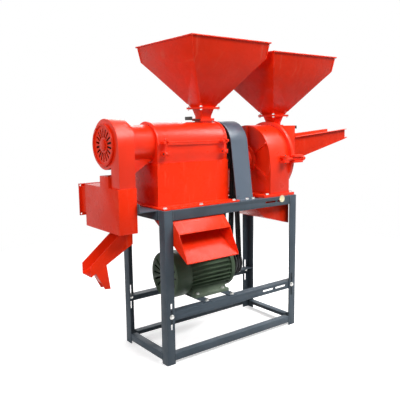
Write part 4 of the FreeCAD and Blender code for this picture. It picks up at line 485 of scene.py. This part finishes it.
def bolt_set(name, seats, sizes, material, body, slot, *nodes):
    """Hexagon bolts with washers and nuts on them.

    seats are (point on the face, outward direction, thickness held) tuples. sizes gives the
    width across flats, the head, washer and nut in metres.
    """
    mesh = bpy.data.meshes.new(name)
    mesh.from_pydata([point for point, aim, grip in seats], [], [])
    mesh.attributes.new("aim", "FLOAT_VECTOR", "POINT")
    mesh.attributes.new("grip", "FLOAT", "POINT")
    for i, (point, aim, grip) in enumerate(seats):
        mesh.attributes["aim"].data[i].vector = aim
        mesh.attributes["grip"].data[i].value = grip
    piece = bpy.data.objects.new(name, mesh)
    bpy.context.scene.collection.objects.link(piece)
    flats, head, washer, wall, nut = sizes
    crown_top, crown_foot, crown_height, shank_share = 0.40, 0.495, 0.05, 0.29
    washer_sides, crown_sides, shank_sides = 28, 24, 10
    entry_values = {"Hexagon radius": flats / math.sqrt(3), "Head height": head, "Washer radius": washer,
                    "Washer wall": wall, "Nut height": nut, "Shank radius": flats * shank_share}
    tree, entry, leave, sockets = new_tree(name, entry_values)
    add, wired = tree.nodes.new, entry.outputs

    def sum_of(first, second, factor=1.0):
        """first times factor plus second."""
        node = add("ShaderNodeMath")
        node.operation = "MULTIPLY_ADD"
        node.inputs[1].default_value = factor
        join_sockets(tree, (first, node.inputs[0]), (second, node.inputs[2]))
        return node.outputs[0]

    def disc(sides, radius, depth, low=None):
        """A cylinder that stands on low, or on the seat."""
        round_bar = add("GeometryNodeMeshCylinder")
        round_bar.inputs["Vertices"].default_value = sides
        lift = add("ShaderNodeCombineXYZ")
        move = add("GeometryNodeTransform")
        zero = add("ShaderNodeValue")
        zero.outputs[0].default_value = 0.0
        join_sockets(tree, (radius, round_bar.inputs["Radius"]), (depth, round_bar.inputs["Depth"]),
                     (sum_of(depth, low or zero.outputs[0], 0.5), lift.inputs["Z"]),
                     (round_bar.outputs["Mesh"], move.inputs["Geometry"]),
                     (lift.outputs[0], move.inputs["Translation"]))
        return move.outputs["Geometry"]

    def crowned(depth, low):
        """A hexagon with a turned face on it, as on a forged head or a nut."""
        crown = add("GeometryNodeMeshCone")
        crown.inputs["Vertices"].default_value = crown_sides
        crown.inputs["Radius Top"].default_value = flats * crown_top
        crown.inputs["Radius Bottom"].default_value = flats * crown_foot
        crown.inputs["Depth"].default_value = flats * crown_height
        lift = add("ShaderNodeCombineXYZ")
        move = add("GeometryNodeTransform")
        both = add("GeometryNodeJoinGeometry")
        join_sockets(tree, (sum_of(depth, low), lift.inputs["Z"]),
                     (crown.outputs["Mesh"], move.inputs["Geometry"]),
                     (lift.outputs[0], move.inputs["Translation"]))
        for part in (disc(6, wired["Hexagon radius"], depth, low), move.outputs["Geometry"]):
            tree.links.new(part, both.inputs["Geometry"])
        return both.outputs["Geometry"]

    def attribute(label, kind):
        """A value kept on the seats' points."""
        node = add("GeometryNodeInputNamedAttribute")
        node.data_type = kind
        node.inputs["Name"].default_value = label
        return node.outputs["Attribute"]

    def on_points(points, shape, flipped=False, scale=None):
        """The shape on every seat, its axis on the seat's direction."""
        align = add("FunctionNodeAlignRotationToVector")
        align.axis = "Z"
        place = add("GeometryNodeInstanceOnPoints")
        aim = attribute("aim", "FLOAT_VECTOR")
        if flipped:
            turn = add("ShaderNodeVectorMath")
            turn.operation = "SCALE"
            turn.inputs["Scale"].default_value = -1.0
            tree.links.new(aim, turn.inputs[0])
            aim = turn.outputs[0]
        join_sockets(tree, (aim, align.inputs["Vector"]),
                     (align.outputs["Rotation"], place.inputs["Rotation"]),
                     (points, place.inputs["Points"]), (shape, place.inputs["Instance"]))
        if scale:
            tree.links.new(scale, place.inputs["Scale"])
        return place.outputs["Instances"]

    points = add("GeometryNodeMeshToPoints")
    tree.links.new(wired["Geometry"], points.inputs["Mesh"])
    grip_of = attribute("grip", "FLOAT")
    far_side = add("ShaderNodeVectorMath")
    far_side.operation = "SCALE"
    minus = add("ShaderNodeMath")
    minus.operation = "MULTIPLY"
    minus.inputs[1].default_value = -1.0
    moved = add("GeometryNodeSetPosition")
    join_sockets(tree, (grip_of, minus.inputs[0]), (attribute("aim", "FLOAT_VECTOR"), far_side.inputs[0]),
                 (minus.outputs[0], far_side.inputs["Scale"]),
                 (points.outputs["Points"], moved.inputs["Geometry"]),
                 (far_side.outputs[0], moved.inputs["Offset"]))
    unit = add("ShaderNodeValue")
    unit.outputs[0].default_value = 1.0
    reach = add("ShaderNodeCombineXYZ")
    reach.inputs["X"].default_value = 1.0
    reach.inputs["Y"].default_value = 1.0
    nuts_past_grip = 1.5
    join_sockets(tree, (sum_of(wired["Nut height"], grip_of, nuts_past_grip), reach.inputs["Z"]))
    top = [disc(washer_sides, wired["Washer radius"], wired["Washer wall"]),
           crowned(wired["Head height"], wired["Washer wall"])]
    head_parts = add("GeometryNodeJoinGeometry")
    for part in top:
        tree.links.new(part, head_parts.inputs["Geometry"])
    zero = add("ShaderNodeValue")
    zero.outputs[0].default_value = 0.0
    everything = add("GeometryNodeJoinGeometry")
    heads = on_points(points.outputs["Points"], head_parts.outputs["Geometry"])
    nuts = on_points(moved.outputs["Geometry"], crowned(wired["Nut height"], zero.outputs[0]), flipped=True)
    shanks = on_points(points.outputs["Points"], disc(shank_sides, wired["Shank radius"], unit.outputs[0]),
                       flipped=True, scale=reach.outputs[0])
    for part in (heads, nuts, shanks):
        tree.links.new(part, everything.inputs["Geometry"])
    tree.links.new(skinned(tree, everything.outputs["Geometry"], material), leave.inputs["Geometry"])
    run_tree(piece, tree, sockets, entry_values)
    return declare(piece, body, slot, *nodes)


hopper_bolt_sizes = (0.010, 0.004, 0.0078, 0.0010, 0.0038)


def hopper_bolts(name, place, body):
    """Four small bolts through the two flanges at a hopper's foot."""
    spread, flange = 0.047, 0.004
    seats = [((x, y, z), (0, 0, 1), 2 * flange) for x, y, z in square(place, spread, flange)]
    bolt_set(name + "_finished", seats, hopper_bolt_sizes, zinc, body, "zinc_steel", name)


hopper_bolts("mill_hopper_bolts", mill_hopper_place, "cover")

# ---- Bran chute ----
# One folded sheet tray that slopes forward out of the skirt, with a narrow hood plate over its
# head and a hem turned along its lip.

finished("bran_chute", "machine", "red_paint", sheet_red, edge=0.0006)

# ---- Discharge casing and fan ----
# The polished rice leaves through the cast drum and down its hollow foot. The fan housing beyond
# it sucks out bran dust; its round cover plate has radial slots.

finished("discharge_casing", "machine", "red_paint", cast_red, edge=0.0014)
finished("fan_housing", "machine", "red_paint", cast_red, edge=0.0050, steps=4)
finished("fan_grille", "machine", "red_paint", sheet_red, edge=0.0005)
finished("fan_impeller", "mill_rotor", "cast_iron", pin_steel, edge=0.0)

# ---- Separator ----
# A folded box hung from a bracket on the stand, with an air outlet behind and two open chutes
# below it for whole and broken rice.

finished("separator_bracket", "machine", "stand_paint", stand_paint, edge=0.0006)
for node in ("separator_box", "air_outlet", "rice_chute", "broken_rice_spout"):
    finished(node, "machine", "red_paint", sheet_red, edge=0.0006)

# ---- Crusher ----
# A cast drum with a ribbed back and a bearing housing, on a base plate over the flour outlet. The
# claw rotor runs inside a slotted ring sieve.

finished("crusher_base", "machine", "red_paint", cast_red, edge=0.0014)
finished("crusher_housing", "machine", "red_paint", cast_red, edge=0.0020, steps=3)
finished("crusher_bearing_housing", "machine", "red_paint", cast_red, edge=0.0012)
finished("flour_outlet", "machine", "red_paint", sheet_red, edge=0.0006)
finished("crusher_ring_sieve", "machine", "ground_steel", sieve_steel, edge=0.0)
finished("crusher_shaft", "crusher_rotor", "ground_steel", ground_steel)
finished("crusher_rotor", "crusher_rotor", "cast_iron", cast_iron)
finished("crusher_pulley", "crusher_rotor", "cast_iron", cast_iron, edge=0.0)

# ---- Crusher door, tray and clamp ----
# The cast door swings on two pins at the back and carries the throat, the sloping sheet tray and
# the second hopper. A swing bolt at the front holds it shut.

finished("crusher_door", "door", "red_paint", cast_red, edge=0.0016)
finished("feed_throat", "door", "red_paint", sheet_red, edge=0.0008)
finished("feed_tray", "door", "red_paint", sheet_red, edge=0.0008)
finished("door_clamp", "clamp", "red_paint", cast_red)

# ---- Crusher hopper ----
# The same hopper as on the mill, bolted to the funnel over the throat.

crusher_hopper_place = (0.2595, 0.024, 1.0050)
finished("crusher_inlet_funnel", "door", "red_paint", sheet_red)
finished("crusher_hopper", "door", "red_paint", sheet_red, edge=0.0007)
finished("crusher_feed_gate", "crusher_gate", "dark_steel", pin_steel)
hopper_trim("crusher_hopper", crusher_hopper_place, "door")
hopper_bolts("crusher_hopper_bolts", crusher_hopper_place, "door")

# ---- Belts and guard ----
# Two pairs of A-section V-belts, dusty on their backs, run under a strap of sheet bent to an arch
# and sprayed grey-blue.

rubber_black, rubber_dust = (0.012, 0.012, 0.013), (0.10, 0.085, 0.065)
rubber = painted("belt rubber", rubber_black, 0.7, 0.3, rubber_dust, edge_wear_and_highlight=0.5, relief=0.2)
finished("drive_belts", "machine", "belt_rubber", rubber, edge=0.0)
# The second colour lightens the guard's edges, as worn paint and as a painted highlight.
guard_grey, guard_wear_and_highlight = (0.090, 0.120, 0.160), (0.30, 0.33, 0.36)
guard_paint = painted("guard grey paint", guard_grey, 0.33, 0.08, guard_wear_and_highlight, edge_wear_and_highlight=0.5, specular=0.5)
finished("belt_guard", "machine", "guard_paint", guard_paint, edge=0.0008)

# ---- Frame bolts ----
# Zinc-plated hexagon bolts with plain washers and nuts hold the castings, guard, rails and motor,
# and four small screws the terminal box's lid. One broad yellow-passivated washer fills a slot of
# the front rail.

frame_bolt_sizes = (0.013, 0.0052, 0.0098, 0.0012, 0.0055)
up = (0, 0, 1)
mill_foot, crusher_foot, guard_foot, motor_foot, cross_bar = 0.640, 0.646, 0.637, 0.236, 0.224
motor_bolts_x = (-0.151, -0.011)
# Each is x and y from the middle of the stand, the height of the seat and the thickness held.
seats = [(x, side * 0.143, mill_foot, 0.010) for x in (-0.352, 0.005) for side in (-1, 1)]
seats += [(-0.174, -0.143, mill_foot, 0.010)]
seats += [(x, y, crusher_foot, 0.016) for x in (0.205, 0.357) for y in (-0.143, 0.146)]
seats += [(x, y, guard_foot, 0.007) for x in (0.082, 0.118) for y in (-0.143, 0.147)]
seats += [(x, side * 0.080, motor_foot, 0.016) for x in motor_bolts_x for side in (-1, 1)]
seats += [(x, side * 0.145, cross_bar, 0.008) for x in motor_bolts_x for side in (-1, 1)]
bolt_seats = [((middle_x + x, middle_y + y, z), up, grip) for x, y, z, grip in seats]
rail_end, rail_bolt_height, rail_grip = 0.347, 0.203, 0.008
bolt_seats += [((middle_x + end * rail_end, middle_y + side * half_width, rail_bolt_height),
                (0, side, 0), rail_grip) for end in (-1, 1) for side in (-1, 1)]
bolt_set("frame_bolts_finished", bolt_seats, frame_bolt_sizes, zinc, "machine", "zinc_steel", "frame_bolts")

lid_screw_sizes, lid_grip = (0.0065, 0.0028, 0.0042, 0.0006, 0.0026), 0.012
lid_left, lid_right, lid_front, lid_back, lid_top = -0.2365, -0.1345, -0.029, 0.057, 0.470
lid_screws = [((x, y, lid_top), up, lid_grip) for x in (lid_left, lid_right) for y in (lid_front, lid_back)]
bolt_set("terminal_lid_screws", lid_screws, lid_screw_sizes, zinc, "machine", "zinc_steel")

yellow_zinc = steel("yellow passivated zinc", (0.74, 0.66, 0.46), 0.4, mottle=0.12)
broad_washer_sizes = (0.013, 0.0045, 0.0165, 0.0022, 0.0055)
broad_washer_seat = ((middle_x + 0.276, middle_y - half_width, 0.624), (0, -1, 0), 0.004)
bolt_set("rail_washer_bolt", [broad_washer_seat], broad_washer_sizes, yellow_zinc, "machine", "zinc_steel")

# ---- Studio ----
# A pale floor and soft lamps. The camera stands in front and to the left of the machine, a little
# above the roller's height, on the side where the fan and the separator are.

camera_place = (-1.6049, -1.8278, 0.9633)
camera_right = Vector((0.79526, -0.60612, -0.01329))
camera_up = Vector((0.09602, 0.10428, 0.98990))
camera_back = Vector((-0.59861, -0.78851, 0.14114))
camera_data = bpy.data.cameras.new("camera")
camera_data.sensor_width = 36
camera_data.lens = 47.112
camera_data.clip_start = 0.05
camera = bpy.data.objects.new("camera", camera_data)
bpy.context.scene.collection.objects.link(camera)
turn = Matrix((camera_right, camera_up, camera_back)).transposed()
camera.matrix_world = Matrix.Translation(camera_place) @ turn.to_4x4()
bpy.context.scene.camera = camera


def seen_directly(tree):
    """1 for camera, glossy and transmission rays, 0 for the light that falls on things."""
    path = tree.nodes.new("ShaderNodeLightPath")
    total = path.outputs["Is Camera Ray"]
    for name in ("Is Glossy Ray", "Is Transmission Ray"):
        larger = tree.nodes.new("ShaderNodeMath")
        larger.operation = "MAXIMUM"
        join_sockets(tree, (total, larger.inputs[0]), (path.outputs[name], larger.inputs[1]))
        total = larger.outputs[0]
    return total


def mixed_shader(tree, factor, first, second):
    """One shader passing over into another."""
    mix = tree.nodes.new("ShaderNodeMixShader")
    join_sockets(tree, (factor, mix.inputs["Fac"]), (first, mix.inputs[1]), (second, mix.inputs[2]))
    return mix.outputs[0]


def shader_of(tree, kind, colour, strength=None):
    """A diffuse or emission shader of a grey level."""
    node = tree.nodes.new(kind)
    node.inputs["Color"].default_value = (colour, colour, colour, 1)
    if strength is not None:
        node.inputs["Strength"].default_value = strength
    return node.outputs[0]


reach = 40.0
floor_colour, floor_glow, floor_bounce, soft_light = 0.8, 0.55, 0.2, 0.22
shadow_ends, all_white = 1.0, 2.4
floor_mesh = bpy.data.meshes.new("floor")
floor_mesh.from_pydata([(-reach, -reach, 0), (reach, -reach, 0), (reach, reach, 0), (-reach, reach, 0)],
                       [], [(0, 1, 2, 3)])
floor = bpy.data.objects.new("floor", floor_mesh)
bpy.context.scene.collection.objects.link(floor)
floor_paint = bpy.data.materials.new("floor")
floor_paint.use_nodes = True
tree = floor_paint.node_tree
tree.nodes.remove(tree.nodes["Principled BSDF"])
glow = shader_of(tree, "ShaderNodeEmission", 1.0, floor_glow)
pale = tree.nodes.new("ShaderNodeAddShader")
join_sockets(tree, (shader_of(tree, "ShaderNodeBsdfDiffuse", floor_colour), pale.inputs[0]),
             (glow, pale.inputs[1]))
place = tree.nodes.new("ShaderNodeTexCoord")
distance = tree.nodes.new("ShaderNodeVectorMath")
distance.operation = "LENGTH"
outward = tree.nodes.new("ShaderNodeMapRange")
outward.inputs["From Min"].default_value = shadow_ends
outward.inputs["From Max"].default_value = all_white
join_sockets(tree, (place.outputs["Object"], distance.inputs[0]),
             (distance.outputs["Value"], outward.inputs["Value"]))
white_floor = mixed_shader(tree, outward.outputs["Result"], pale.outputs[0],
                           shader_of(tree, "ShaderNodeEmission", 1.0, 1.0))
floor_look = mixed_shader(tree, seen_directly(tree), shader_of(tree, "ShaderNodeBsdfDiffuse", floor_bounce),
                          white_floor)
tree.links.new(floor_look, tree.nodes["Material Output"].inputs["Surface"])
floor_mesh.materials.append(floor_paint)

world = bpy.data.worlds.new("studio")
bpy.context.scene.world = world
world.use_nodes = True
tree = world.node_tree
soft = shader_of(tree, "ShaderNodeBackground", 1.0, soft_light)
white = shader_of(tree, "ShaderNodeBackground", 1.0, 1.0)
world_look = mixed_shader(tree, seen_directly(tree), soft, white)
tree.links.new(world_look, tree.nodes["World Output"].inputs["Surface"])

lamp_target = Vector((0, 0, 0.8))
lamps = (("key", (0.5, -2.3, 3.5), (2.0, 1.2), 112), ("top", (1.3, -0.5, 3.2), (2.2, 1.6), 112),
         ("side", (-3.3, -0.9, 1.9), (1.4, 1.4), 46), ("rear", (1.2, 3.0, 2.6), (2.0, 1.4), 46))
for name, place, size, power in lamps:
    lamp_data = bpy.data.lights.new(name, "AREA")
    lamp_data.shape = "RECTANGLE"
    lamp_data.energy = power
    lamp_data.size, lamp_data.size_y = size
    lamp = bpy.data.objects.new(name, lamp_data)
    lamp.location = place
    lamp.rotation_euler = (lamp_target - Vector(place)).to_track_quat("-Z", "Y").to_euler()
    bpy.context.scene.collection.objects.link(lamp)

bpy.context.scene.view_settings.view_transform = "Standard"
